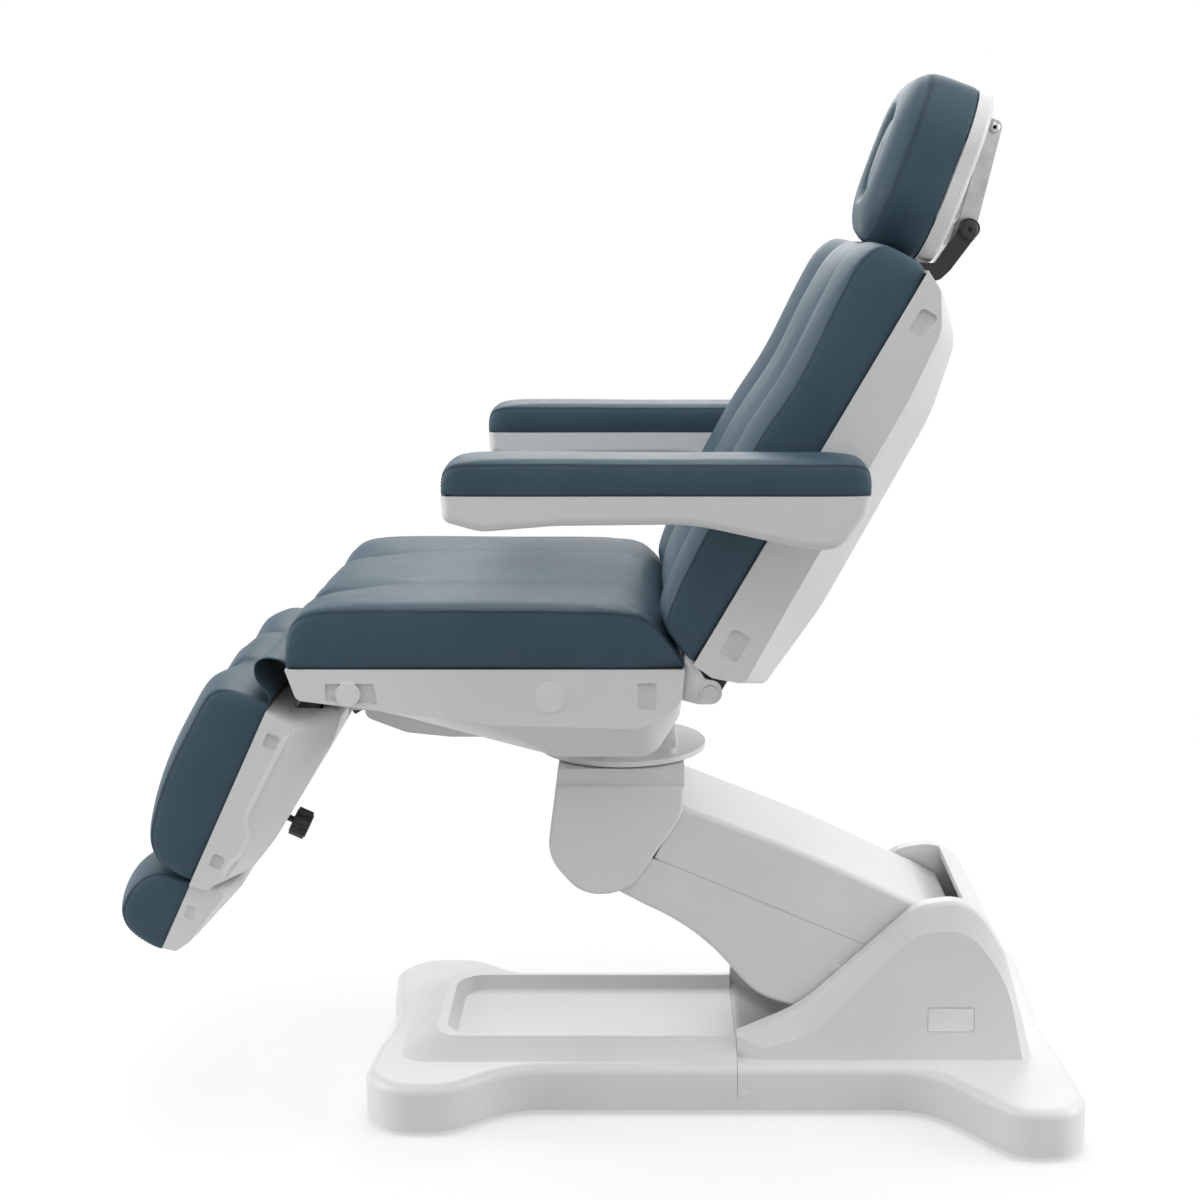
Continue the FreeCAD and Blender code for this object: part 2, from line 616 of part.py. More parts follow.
def make_lift_head():
    left, right = head_x - 82, head_x + 110
    top = d.swivel_top - 11
    low = head_z - 98
    shape = [(left, top), (left - 18, head_z - 38, 70), (left + 34, low, 60), (head_x + 22, low, 70),
             (right, head_z + 32, 70), (right, top)]
    body = new_body("head_housing")
    pad(body, "XZ_Plane", shape, "-dims.housing_half", "dims.housing_half")
    lean = 18 * 26 / (top - head_z + 38)
    slab = [(left - lean, top - 26)] + shape[1:5] + [(right, top - 26)]
    pad(body, "XZ_Plane", slab, "-dims.housing_half - 8", "dims.housing_half + 8")

    inner_left = left + 4
    well = [(inner_left, top - 6), (inner_left - 14, head_z - 30, 40), (left + 36, head_z - 70, 30),
            (left + 40, low - 20), (right + 20, low - 20), (right + 20, top - 6)]
    pocket(body, "XZ_Plane", rounded(well), "-dims.lift_half - 3", "dims.lift_half + 3")
    pocket(body, "XY_Plane", [circle(d.swivel_x, 0, 88)], str(top - 8), str(top + 1))

    def slab_rim(edge):
        box = edge.BoundBox
        return box.YLength < 0.1 and abs(abs(box.YMin) - d.housing_half - 8) < 0.1

    soften(body, 6, slab_rim)

    plate_top = d.swivel_top - 17
    plate_low = plate_top - 8
    cheek = [(head_x - 48, plate_low), (head_x - 30, head_z - 32, 24), (head_x + 30, head_z - 32, 24),
             (head_x + 58, head_z + 32, 20), (head_x + 58, plate_low)]
    fit = d.run_gap
    holes = [(head_x, head_z, d.lift_shaft + fit), (head_x + LINK_DX, head_z + LINK_DZ, d.link_pin + fit)]
    side = plate("head_cheek", cheek, "60", "72", holes, node=False)
    deck_x = (d.swivel_x - 72, d.swivel_x + 72)
    deck = block("head_deck", deck_x, ("-92", "92"), (plate_low, plate_top), node=False)
    group("head_bracket", [side, mirrored(side), deck])

    main = shaft("upper_shaft", head_x, head_z, "dims.lift_shaft", "-98", "98", node=False)
    pin_x, pin_z = head_x + LINK_DX, head_z + LINK_DZ
    pin = shaft("upper_link_pin", pin_x, pin_z, "dims.link_pin", "-73", "73", node=False)
    group("upper_pivots", [main, pin])

    ring = new_body("swivel_bearing")
    pad_low, pad_high = "dims.swivel_top - 17", "dims.swivel_top - 8"
    disc(ring, "XY_Plane", d.swivel_x, 0, "86", pad_low, pad_high)
    pocket(ring, "XY_Plane", [circle(d.swivel_x, 0, 60)], "dims.swivel_top - 18", "dims.swivel_top - 7")


def make_swivel():
    body = new_body("swivel_plate")
    disc(body, "XY_Plane", d.swivel_x, 0, "dims.swivel_radius", "dims.swivel_top - 8", "dims.swivel_top")
    disc(body, "XY_Plane", d.swivel_x, 0, "60 - dims.run_gap", "dims.swivel_top - 16", "dims.swivel_top - 7")

    x, z, floor = d.tilt_x, d.tilt_z, d.swivel_top
    bracket = new_body("tilt_bracket")
    pad(bracket, "XY_Plane", rectangle(x - 66, x + 66, -84, 84, 10), "dims.swivel_top", "dims.swivel_top + 8")
    upright = [(x - 42, floor + 6), (x + 42, floor + 6), (x + 20, z + 20, 19), (x - 20, z + 20, 19)]
    hole = [(x, z, 12)]
    for low, high in (("-82", "-70"), ("70", "82")):
        pad(bracket, "XZ_Plane", upright, low, high, hole)
    lean = math.radians(7.5)
    tip_x, tip_z = x + 52 * math.sin(lean), z + 52 * math.cos(lean)
    mast = [(x - 30, floor + 6), (x + 30, floor + 6), (tip_x + 14, tip_z, 12), (tip_x - 14, tip_z, 12)]
    pad(bracket, "XZ_Plane", mast, "-6", "6", hole)
    low_x, low_z = x + 23 * math.sin(lean), z + 23 * math.cos(lean)
    high_x, high_z = x + 45 * math.sin(lean), z + 45 * math.cos(lean)
    slot = [(low_x - 6.8, low_z, 6.5), (low_x + 6.8, low_z, 6.5),
            (high_x + 6.8, high_z, 6.5), (high_x - 6.8, high_z, 6.5)]
    pocket(bracket, "XZ_Plane", rounded(slot), "-7", "7")
    shaft("tilt_shaft", x, z, "12", "-96", "96")


def make_seat_frame():
    floor, top = d.seat_line - 40, d.seat_line - d.board - 1
    rail_in, rail_out = "dims.hinge_y - 30", "dims.hinge_y"
    rail_x = (seat_front + 62, d.seat_rear - 10)
    rail = block("seat_rail", rail_x, (rail_in, rail_out), (floor, top), node=False)
    tubes = []
    across = (f"-({rail_in})", rail_in)
    for x in (seat_front + 66, drive_x, d.tilt_x):
        tubes.append(block(f"seat_tube_{len(tubes)}", (x - 15, x + 15), across, (floor, top), node=False))
    x, z = d.tilt_x, d.tilt_z
    lug = plate("tilt_lug", [(x - 18, z - 18, 17), (x + 18, z - 18, 17), (x + 18, floor), (x - 18, floor)],
                "84", "94", [(x, z, 12 + d.run_gap)], node=False)
    group("seat_frame", [rail, mirrored(rail)] + tubes + [lug, mirrored(lug)])
    body = new_body("seat_board")
    inside = d.section_half - d.shell_wall - 2
    board = rectangle(seat_front + 15, d.seat_rear - 10, -inside, inside, 8)
    pad(body, "XY_Plane", board, "dims.seat_line - dims.board - 1", "dims.seat_line - 1")


def belly_points():
    """Front, middle and lowest point of the seat shell's underside."""
    line = d.seat_line
    middle, low = seat_front + 0.2865 * d.seat_length, seat_front + 0.676 * d.seat_length
    return (seat_front + 19, line - 46), (middle, line - 87), (low, line - 146)


def belly_height(x):
    """Height of the seat shell's underside at x, in front of its lowest stretch."""
    front, middle, low = belly_points()
    a, b = (front, middle) if x < middle[0] else (middle, low)
    return a[1] + (b[1] - a[1]) * (x - a[0]) / (b[0] - a[0])


def make_seat_shell():
    line, rear = d.seat_line, d.seat_rear
    rim = [(rear, line), (seat_front, line), (seat_front + 15, line - 44, 12),
           (seat_front + 150, line - 62, 200), (seat_front + 290, line - 80, 300),
           (rear - 60, line - 86, 60), (rear - 4, line - 48, 30)]
    keel = [(*point, radius) for point, radius in zip(belly_points(), (12, 300, 120))]
    belly = [(rear, line), (seat_front, line)] + keel
    belly += [(rear - 44, line - 146, 40), (rear - 6, line - 84, 24)]
    body = pan("seat_shell", None, rim, belly, "dims.section_half", "dims.section_half - dims.crease_inset")
    reach = "dims.hinge_y + dims.hinge_plate + 4"
    nose = rectangle(seat_front - 10, seat_front + 84, line - 140, line - 24)
    pocket(body, "XZ_Plane", rounded(nose), f"-({reach})", reach)
    belly_hole = rectangle(seat_front + 40, drive_x + 56, line - 200, line - 50)
    pocket(body, "XZ_Plane", rounded(belly_hole), "-158", "158")
    tilt_hole = rectangle(d.tilt_x - 80, d.tilt_x + 56, line - 200, line - 100)
    pocket(body, "XZ_Plane", rounded(tilt_hole), "-100", "100")
    rear_slot = rectangle(rear - 34, rear + 4, line - 110, line - 16)
    slot_in = "dims.hinge_y - 4"
    pocket(body, "XZ_Plane", rounded(rear_slot), slot_in, reach)
    pocket(body, "XZ_Plane", rounded(rear_slot), f"-({reach})", f"-({slot_in})")
    rod_hole = rectangle(rear - 50, rear + 4, line - 120, line - 74)
    pocket(body, "XZ_Plane", rounded(rod_hole), "96", "134")
    front_hollow = [(seat_front + 56, line - 20, 3), (seat_front + 124, line - 20, 3),
                    (seat_front + 129, line - 51, 3), (seat_front + 56, line - 45, 3)]
    rear_hollow = rectangle(rear - 66, rear - 40, line - 58, line - 19, 3)
    hollow_sides(body, (front_hollow, rear_hollow), "dims.section_half")


def make_seat_trim():
    line = d.seat_line
    caps = []
    for side in (-1, 1):
        spots = ((d.seat_rear - 190, line - 39, 21.5, 0), (seat_front + 88, line - 35, 17.5, HOLLOW))
        for x, z, radius, stem in spots:
            cap = new_body(f"seat_cap_{len(caps)}", node=False)
            near, far = "dims.section_half", "dims.section_half + 3"
            low, high = (near, far) if side > 0 else (f"-({far})", f"-({near})")
            disc(cap, "XZ_Plane", x, z, str(radius), low, high)
            if stem:
                root, tip = f"{near} - {stem}", f"{near} + 1"
                low, high = (root, tip) if side > 0 else (f"-({tip})", f"-({root})")
                disc(cap, "XZ_Plane", x, z, "11", low, high)
            caps.append(cap)
    group("seat_side_caps", caps)
    cover = new_body("underseat_cover")
    x0, x1 = seat_front + 85, drive_x + 60
    low = belly_height(x1) - 2.45
    trough = [(x0, belly_height(x0) - 0.4), (x0 + 5, line - 108, 14), (x0 + 64, low + 7, 50),
              (x0 + 130, low, 80), (x1, low), (x1, belly_height(x1) - 0.4)]
    bend = belly_points()[1]
    side = trough + [(bend[0], bend[1] - 0.4)]
    pad(cover, "XZ_Plane", side, "-165", "165")
    pocket(cover, "XZ_Plane", rounded(inset(side, 3, (5, 6))), "-162", "162")
    rod_mouth = rectangle(x0 - 4, x0 + 50, line - 126, line - 40)
    pocket(cover, "XZ_Plane", rounded(rod_mouth), "-98", "-52")


def make_seat_hinges():
    line = d.seat_line
    rail_low, rail_top = line - 40, line - d.board - 1
    bores = "dims.hinge_y - dims.hinge_plate"
    ends = (("back_hinge_brackets", back_x, back_z, 1, d.seat_rear - 90, 17),
            ("leg_hinge_brackets", leg_x, leg_z, -1, seat_front + 120, 14))
    for label, x, z, out, root, eye in ends:
        body = new_body(label + "_near", node=False)
        tip = x + out * eye
        corners = [(root, rail_low, 4), (x - out * eye, z - eye, eye * 0.6), (tip, z - eye, eye * 0.98),
                   (tip, z + eye, eye * 0.98), (root, rail_top, 4)]
        pad(body, "XZ_Plane", corners, "dims.hinge_y", HINGE_OUT)
        disc(body, "XZ_Plane", x, z, "dims.hinge_pin", bores, "dims.hinge_y + 1")
        disc(body, "XZ_Plane", x, z, "dims.hinge_pin + 3", "dims.hinge_y + dims.hinge_plate - 1",
             "dims.hinge_y + dims.hinge_plate + 3")
        pair(label, body)


def make_seat_actuators():
    line = d.seat_line
    top = line - 40
    bar = drive_x
    box = (bar - 25, bar + 25)
    back_line, leg_line, tilt_line = back_z - 45, leg_z - 58, d.tilt_z + 34
    actuator("back_actuator", None, 115, back_line, box, (bar + 24, 84), (bar - 100, bar - 24), top)
    lead = math.radians(d.back_angle - BACK_MIDDLE)
    actuator_rod("back_actuator_rod", None, 115, back_line, back_x + 45 * math.tan(lead), 20)
    actuator("leg_actuator", None, -75, leg_line, box, (seat_front + 142, bar - 24), (bar + 24, bar + 114), top)
    lag = math.radians(d.leg_angle - LEG_MIDDLE)
    actuator_rod("leg_actuator_rod", None, -75, leg_line, leg_x + 58 * math.tan(lag), bar - 60)
    actuator("tilt_actuator", None, 0, tilt_line, box, (bar + 24, -34), (bar - 105, bar - 24), top)
    tilt = math.radians(7.5)
    actuator_rod("tilt_actuator_rod", None, 0, tilt_line, d.tilt_x + 34 * math.tan(tilt), -76)


def make_seat_cushion():
    x0, x1 = seat_front, d.seat_rear
    stations = [(x0 + 1, 0.42, 6, 0), (x0 + 8, 0.72, 3, 0), (x0 + 26, 0.92, 1, 0), (x0 + 70, 1, 0, 0),
                (x1 - 150, 1, 0, 0), (x1 - 70, 0.94, 0, 0), (x1 - 48, 0.8, 2, 0), (x1 - 20, 0.44, 5, 0),
                (x1 - 4, 0.16, 8, 0)]
    cushion("seat_cushion", None, d.section_half - 3, d.seat_edge, d.seat_crown, d.panel_half, 9,
            d.seat_line, stations)


def make_back():
    length, drop = d.back_length, d.back_pivot_drop
    deep = drop - d.back_depth
    side = deep + 52
    rim = [(length, drop), (38, drop), (35, drop - 32, 12), (50, side - 4, 14), (190, side, 300),
           (length - 165, side + 4, 300), (length - 60, side + 14, 60), (length - 14, drop - 28, 16)]
    belly = [(length, drop), (38, drop), (35, drop - 60, 12), (50, deep + 12, 14), (190, deep, 300),
             (length - 165, deep + 8, 300), (length - 60, deep + 32, 60), (length - 14, drop - 44, 16)]
    body = pan("back_shell", BACK, rim, belly, "dims.section_half", "dims.section_half - dims.crease_inset")
    slot = rectangle(20, 60, -26, 40)
    pocket(body, "XZ_Plane", rounded(slot), "dims.hinge_y - 14", "dims.hinge_y + 2")
    pocket(body, "XZ_Plane", rounded(slot), "-dims.hinge_y - 2", "-dims.hinge_y + 14")
    post_z = drop - 50
    post_hole = rectangle(-28, 28, post_z - 8, post_z + 8)
    pocket(body, "YZ_Plane", rounded(post_hole), str(length - 60), str(length + 2))
    low_hollow = rectangle(70, 112, drop - 52, drop - 22, 6)
    high_hollow = rectangle(length - 84, length - 46, drop - 44, drop - 18, 6)
    hollow_sides(body, (low_hollow, high_hollow), "dims.section_half")

    board = new_body("back_board", BACK)
    inside = d.section_half - d.shell_wall - 2
    pad(board, "XY_Plane", rectangle(48, length - 15, -inside, inside, 10),
        "dims.back_pivot_drop - dims.board", "dims.back_pivot_drop - 0.5")

    top = drop - d.board
    end = length * 0.6
    bar = [(-14, -14, 13.7), (50, -14), (66, top - 30), (end, top - 30, 6), (end, top), (60, top), (44, 14),
           (-14, 14, 13.7)]
    lever = plate("back_lever", bar, LEVER_IN, LEVER_OUT, [(0, 0, d.hinge_pin + d.run_gap)], BACK, False)
    tube = shaft("back_torque_tube", 0, 0, "14", f"-({LEVER_IN})", LEVER_IN, BACK, False)
    mid = section_frame(back_x, back_z, d.back_angle - BACK_MIDDLE)
    arm = crank("back_crank", mid, 115, 45, 18, 14)
    group("back_lever_frame", [lever, mirrored(lever), tube, arm])

    edge = d.back_edge
    stations = [(50, 0.22, 8, 0), (54, 0.52, 4, 0), (66, 0.78, 2, 0), (100, 0.9, 1, 0), (190, 0.99, 0, 0),
                (length * 0.53, 1.04, 0, 0), (length * 0.68, 0.98, 0, 0), (length * 0.85, 1.08, 0, 0),
                (length - 44, 1.1, 0, 0), (length - 18, 1.02, 3, 0), (length - 4, 0.88, 9, 2),
                (length + 3, 0.52, 18, 10)]
    cushion("back_cushion", BACK, d.section_half - 3, edge, 12, d.panel_half, 16, drop, stations)

    sleeve = new_body("head_post_sleeve", BACK)
    pad(sleeve, "XZ_Plane", rectangle(length - 210, length - 64, post_z - 14, top), "-34", "34")
    guide = rectangle(-25.1, 25.1, post_z - 6.1, post_z + 6.1)
    pocket(sleeve, "YZ_Plane", rounded(guide), str(length - 211), str(length - 63))


def make_armrests():
    pivot_s, pivot_n = 0.4624 * d.back_length, d.back_pivot_drop - 32
    hub = BACK.multVec(V(pivot_s, 0, pivot_n))
    stub = new_body("armrest_pivot", node=False)
    disc(stub, "XZ_Plane", hub.x, hub.z, "30", "dims.section_half", "dims.section_half + 5")
    disc(stub, "XZ_Plane", hub.x, hub.z, "14", "dims.section_half + 4", f"{ARM_IN} + dims.arm_width - 20")
    pair("armrest_pivots", stub)

    front = hub.x + 68 - d.arm_length
    rear = hub.x + 68
    line = hub.z + 38
    shape = [(front, line), (front + 2, line - 34, 14), (front + 52, line - 48, 60),
             (front + 150, line - 40, 300), (front + 330, line - 38, 300), (rear - 90, line - 70, 120),
             (rear - 40, line - 74, 40), (rear - 6, line - 24, 40), (rear, line)]
    outer, inner = f"{ARM_IN} + dims.arm_width", ARM_IN
    for label, sign in (("right", -1), ("left", 1)):
        low, high = (inner, outer) if sign > 0 else (f"-({outer})", f"-({inner})")
        shell = new_body(f"{label}_arm_shell")
        pad(shell, "XZ_Plane", shape, low, high)

        def lower_rim(edge):
            box = edge.BoundBox
            middle = abs(box.Center.y)
            at_side = min(abs(middle - arm_in), abs(middle - arm_in - d.arm_width)) < 0.1
            return box.YLength < 0.1 and at_side and box.ZMin < line - 25

        soften(shell, 12, lower_rim)
        cavity = inset(shape, d.shell_wall + 2, (8,))
        tray = [c for c in cavity if c[0] < hub.x - 40 and c[1] < line]
        tray += [(hub.x - 44, line - 40), (hub.x - 44, line + 1), (front + 6, line + 1)]
        pocket(shell, "XZ_Plane", rounded(tray), f"{low} + 6", f"{high} - 6")
        bore = (f"{low} - 1", f"{high} - 18") if sign > 0 else (f"{low} + 18", f"{high} + 1")
        pocket(shell, "XZ_Plane", [circle(hub.x, hub.z, 14 + d.run_gap)], *bore)

        padding = new_body(f"{label}_arm_pad")
        middle = arm_in + d.arm_width / 2
        half, tall = d.arm_width / 2 - 2, d.arm_height
        sections = []
        ends = ((front + 1, 0.5, 12), (front + 6, 0.82, 5), (front + 26, 1, 0), (rear - 60, 1, 0),
                (rear - 12, 0.85, 5), (rear - 1, 0.5, 12))
        for x, share, drawn in ends:
            wide, high_at = half - drawn, tall * share
            points = [V(-wide, 0), V(-wide - 1.5, 0.5 * high_at), V(-wide + 5, high_at),
                      V(0, high_at + 9 * share), V(wide - 5, high_at), V(wide + 1.5, 0.5 * high_at),
                      V(wide, 0)]
            points = [V(p.x + sign * middle, p.y + line) for p in points]
            arcs = [Part.Arc(*points[i:i + 3]) for i in range(0, 5, 2)]
            sections.append((arcs + [Part.LineSegment(points[-1], points[0])], str(x)))
        loft(padding, "Additive", "YZ_Plane", sections)


def make_head():
    length, drop = d.back_length, d.back_pivot_drop
    post_z = drop - 50
    knuckle_s = length + 90
    knuckle = BACK.multVec(V(knuckle_s, 0, post_z))
    post = new_body("headrest_post", BACK)
    bar = rectangle(length - 190, knuckle_s - 16, -25, 25)
    pad(post, "XY_Plane", bar, str(post_z - 6), str(post_z + 6))
    eye = [(knuckle_s - 30, post_z - 6), (knuckle_s + 17, post_z - 16, 11), (knuckle_s + 17, post_z + 16, 11),
           (knuckle_s - 30, post_z + 6)]
    pad(post, "XZ_Plane", eye, "-25", "25", [(knuckle_s, post_z, 9 + d.run_gap)])

    reach = 151
    lean = d.back_angle + 16
    link_frame = section_frame(knuckle.x, knuckle.z, lean)
    link = new_body("headrest_link", link_frame)
    disc(link, "XZ_Plane", 0, 0, "9", "-92", "70")
    strap = lever_bar(reach, 11, 14)
    for low, high in (("-68", "-62"), ("62", "68")):
        pad(link, "XZ_Plane", strap, low, high, [(reach, 0, 6 + d.run_gap)])

    lever = new_body("headrest_lever", section_frame(knuckle.x, knuckle.z, d.back_angle + 176))
    grip = [(-17, -17, 14), (14, -12, 10), (66, -12, 8), (79, -34, 4), (94, -34, 6), (88, 6, 16),
            (62, 12, 20), (14, 14, 12), (-17, 17, 14)]
    pad(lever, "XZ_Plane", grip, "-90", "-76", [(0, 0, 9 + d.run_gap)])

    crown = link_frame.multVec(V(reach, 0, 0))
    head = section_frame(crown.x, crown.z, d.back_angle + 10)
    back, line, front = 15, 40, -218
    top = 44
    plan = rectangle(front, top, -142, 142, 96)
    shell = new_body("headrest_shell", head)
    pad(shell, "XY_Plane", plan, str(back), str(line))

    def back_rim(edge):
        return edge.BoundBox.ZMax < back + 1

    soften(shell, 9, back_rim)
    pocket(shell, "XY_Plane", rounded(inset(plan, 4)), str(back + 4), str(line + 1))
    centre = (front + top) / 2
    hole = rectangle(centre - 66, centre + 66, -44, 44, 43)
    pocket(shell, "XY_Plane", rounded(hole), str(back - 1), str(back + 5))
    lug = [(-14, back + 6), (14, back + 6), (10, -10, 9), (-10, -10, 9)]
    for low, high in (("-61.5", "-51.5"), ("51.5", "61.5")):
        pad(shell, "XZ_Plane", lug, low, high)
    disc(shell, "XZ_Plane", 0, 0, "6", "-70", "-52")
    disc(shell, "XZ_Plane", 0, 0, "6", "52", "70")

    pillow = new_body("headrest_cushion", head)
    layers = []
    for height, drawn in ((0, 5), (22, 0), (60, 1), (82, 12), (96, 34), (102, 62)):
        radius = max(96 - drawn, 30)
        layer = rectangle(front + drawn, top - drawn, -142 + drawn, 142 - drawn, radius)
        layers.append((rounded(layer), str(line + height)))
    loft(pillow, "Additive", "XY_Plane", layers)
    pocket(pillow, "XY_Plane", rounded(hole), str(line - 1), str(line + 110))

    plug = new_body("face_plug", head)
    small, low_plug = inset(hole, 1), inset(hole, 6)
    steps = ((small, 56), (small, 90), (low_plug, 98))
    loft(plug, "Additive", "XY_Plane", [(rounded(c), str(line + height)) for c, height in steps])


def make_leg():
    length, drop = d.leg_length, d.leg_pivot_drop
    rim = [(length, drop), (40, drop), (42, drop - 22, 6), (46, drop - 48, 10), (150, drop - 58, 200),
           (length - 80, drop - 54, 200), (length - 30, drop - 46, 12), (length - 14, drop - 32, 4),
           (length - 3, drop - 28, 3)]
    belly = [(length, drop), (40, drop), (36, drop - 34, 6), (8, drop - 96, 16), (60, drop - 101, 100),
             (length - 90, drop - 83, 200), (length - 32, drop - 69, 14), (length - 14, drop - 40, 6),
             (length - 4, drop - 30, 5)]
    body = pan("leg_shell", LEG, rim, belly, "dims.leg_half", "dims.leg_half - dims.crease_inset")
    reach = "dims.hinge_y + 4"
    mouth = rectangle(-20, 76, -20, 18)
    pocket(body, "XZ_Plane", rounded(mouth), f"-({reach})", reach)
    pocket(body, "XZ_Plane", rounded(rectangle(-20, 92, -80, 0)), "52", "98")
    for y in (-150, 150):
        pocket(body, "YZ_Plane", [circle(y, 14, 10)], str(length - 40), str(length + 2))
    pocket(body, "XY_Plane", [circle(226, 150, 6)], str(drop - 110), "0")
    high_hollow = rectangle(66, 88, drop - 34, drop - 14, 4)
    low_hollow = rectangle(length - 60, length - 38, drop - 32, drop - 14, 4)
    hollow_sides(body, (high_hollow, low_hollow), "dims.leg_half")

    end = length - 34
    bar = [(-14, -14, 13.7), (66, -14), (84, 4), (end, 4, 6), (end, 32, 6), (88, 32), (66, 14),
           (-14, 14, 13.7)]
    lever = plate("leg_lever", bar, LEVER_IN, LEVER_OUT, [(0, 0, d.hinge_pin + d.run_gap)], LEG, False)
    tube = shaft("leg_torque_tube", 0, 0, "14", f"-({LEVER_IN})", LEVER_IN, LEG, False)
    mid = section_frame(leg_x, leg_z, d.leg_angle - LEG_MIDDLE, True)
    arm = crank("leg_crank", mid, 75, 58, 18, 14)
    group("leg_lever_frame", [lever, mirrored(lever), tube, arm])

    guide = new_body("foot_guide", LEG)
    pad(guide, "XZ_Plane", rectangle(200, 270, 0, 30, 3), f"-({LEVER_IN})", LEVER_IN)
    bores = [circle(y, 14, 9 + d.run_gap) for y in (-150, 150)]
    pocket(guide, "YZ_Plane", bores, "199", "271")

    knob = new_body("leg_knob", LEG)
    back = drop - 84
    disc(knob, "XY_Plane", 226, 150, "18", str(back - 34), str(back - 8))
    for k in range(6):
        turn = math.radians(60 * k)
        disc(knob, "XY_Plane", 226 + 16 * math.cos(turn), 150 + 16 * math.sin(turn), "7",
             str(back - 32), str(back - 9))
    disc(knob, "XY_Plane", 226, 150, "5", str(back - 9), "-0.3")

    edge = d.leg_edge
    stations = [(32, 0.5, 8, 0), (37, 0.8, 4, 0), (52, 0.98, 1, 0), (95, 1.04, 0, 0), (180, 1.08, 0, 0),
                (length - 70, 1, 0, 0), (length - 34, 0.88, 1, 0), (length - 12, 0.64, 4, 0),
                (length - 5, 0.3, 8, 0)]
    cushion("leg_cushion", LEG, d.leg_half - 3, edge, 14, d.leg_half / 3, 14, drop, stations)


def make_foot():
    start, drop = d.leg_length, d.leg_pivot_drop
    end = start + d.foot_length
    rods = []
    for y in (-150, 150):
        rod = new_body(f"foot_rod_{len(rods)}", LEG, False)
        disc(rod, "YZ_Plane", y, 14, "9", "62", str(start + 22))
        rods.append(rod)
    group("foot_rods", rods)
    rim = [(end, drop), (start + 4, drop), (start + 2, drop - 22, 4), (start - 6, drop - 40, 4),
           (start - 2, drop - 52, 8), (end - 24, drop - 32, 10), (end - 4, drop - 20, 8)]
    belly = [(end, drop), (start + 4, drop), (start + 2, drop - 26, 4), (start - 10, drop - 46, 4),
             (start - 24, drop - 72, 8), (end - 20, drop - 36, 10), (end - 4, drop - 22, 8)]
    body = new_body("foot_shell", LEG)
    half, near = "dims.foot_half", "dims.foot_half - 50"
    spread = (f"-({half})", f"-({near})", near, half)
    loft(body, "Additive", "XZ_Plane", [(rounded(c), o) for c, o in zip((rim, belly, belly, rim), spread)])
    tray = [(start + 24, drop + 1), (start + 24, drop - 40), (end - 14, drop - 22, 4), (end - 8, drop + 1)]
    pocket(body, "XZ_Plane", rounded(tray), "-dims.foot_half + 6", "dims.foot_half - 6")
    for y in (-150, 150):
        pocket(body, "YZ_Plane", [circle(y, 14, 9 + d.run_gap)], str(start - 40), str(start + 22))
    hollow_sides(body, [rectangle(start + 34, start + 54, drop - 25, drop - 9, 3)], half, False)
    stations = [(start + 6, 0.4, 7, 0), (start + 12, 0.7, 3, 0), (start + 36, 0.98, 0, 0),
                (end - 30, 1.04, 0, 0), (end - 8, 0.86, 3, 0), (end + 6, 0.5, 9, 0)]
    cushion("foot_cushion", LEG, d.foot_half - 3, d.foot_edge, 14, d.foot_half / 3, 10, drop, stations)


make_base_frame()
make_lower_pivots()
make_front_cover()
make_rear_cover()
make_base_small_parts()
make_lift_arm()
make_lift_head()
make_swivel()
make_seat_frame()
make_seat_shell()
make_seat_trim()
make_seat_hinges()
make_seat_actuators()
make_seat_cushion()
make_back()
make_armrests()
make_head()
make_leg()
make_foot()
doc.recompute()

troubles = [o.Label for o in doc.Objects if {"Invalid", "Error"} & set(o.State)]
troubles += [o.Label for o in nodes if o.Shape.isNull() or not o.Shape.isValid() or not o.Shape.Solids]
if troubles:
    raise RuntimeError("broken objects: " + ", ".join(troubles))

os.makedirs("parts", exist_ok=True)
for node in nodes:
    node.Shape.exportStep(f"parts/{node.Label}.step")
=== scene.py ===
import json
from math import cos, exp, hypot, pi, radians, sin, tau

import bmesh
import bpy
from mathutils import Matrix, Vector, noise
from mathutils.bvhtree import BVHTree


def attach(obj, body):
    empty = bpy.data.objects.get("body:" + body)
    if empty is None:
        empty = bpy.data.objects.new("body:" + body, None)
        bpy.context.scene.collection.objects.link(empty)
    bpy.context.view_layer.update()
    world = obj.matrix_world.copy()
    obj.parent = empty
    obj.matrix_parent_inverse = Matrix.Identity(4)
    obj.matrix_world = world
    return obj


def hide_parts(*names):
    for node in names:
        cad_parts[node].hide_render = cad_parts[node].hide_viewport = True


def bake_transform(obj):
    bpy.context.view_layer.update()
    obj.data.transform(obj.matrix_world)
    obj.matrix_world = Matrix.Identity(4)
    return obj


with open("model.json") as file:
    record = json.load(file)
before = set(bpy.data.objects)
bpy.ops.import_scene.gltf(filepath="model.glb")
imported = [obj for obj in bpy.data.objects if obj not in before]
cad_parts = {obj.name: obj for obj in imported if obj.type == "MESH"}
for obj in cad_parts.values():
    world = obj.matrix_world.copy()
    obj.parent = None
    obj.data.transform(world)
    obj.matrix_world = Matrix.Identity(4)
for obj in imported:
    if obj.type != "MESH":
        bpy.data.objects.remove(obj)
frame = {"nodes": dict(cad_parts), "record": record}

MM = 0.001
TINY, SLIVER, SEWN_WITHIN = 1e-9, 1e-6, 2e-6
SIDES = (("near", -1), ("far", 1))
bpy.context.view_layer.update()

# Sockets of the Mix node when it mixes colours
MIX_SHARE, MIX_FIRST, MIX_SECOND, MIX_RESULT = 0, 6, 7, 2


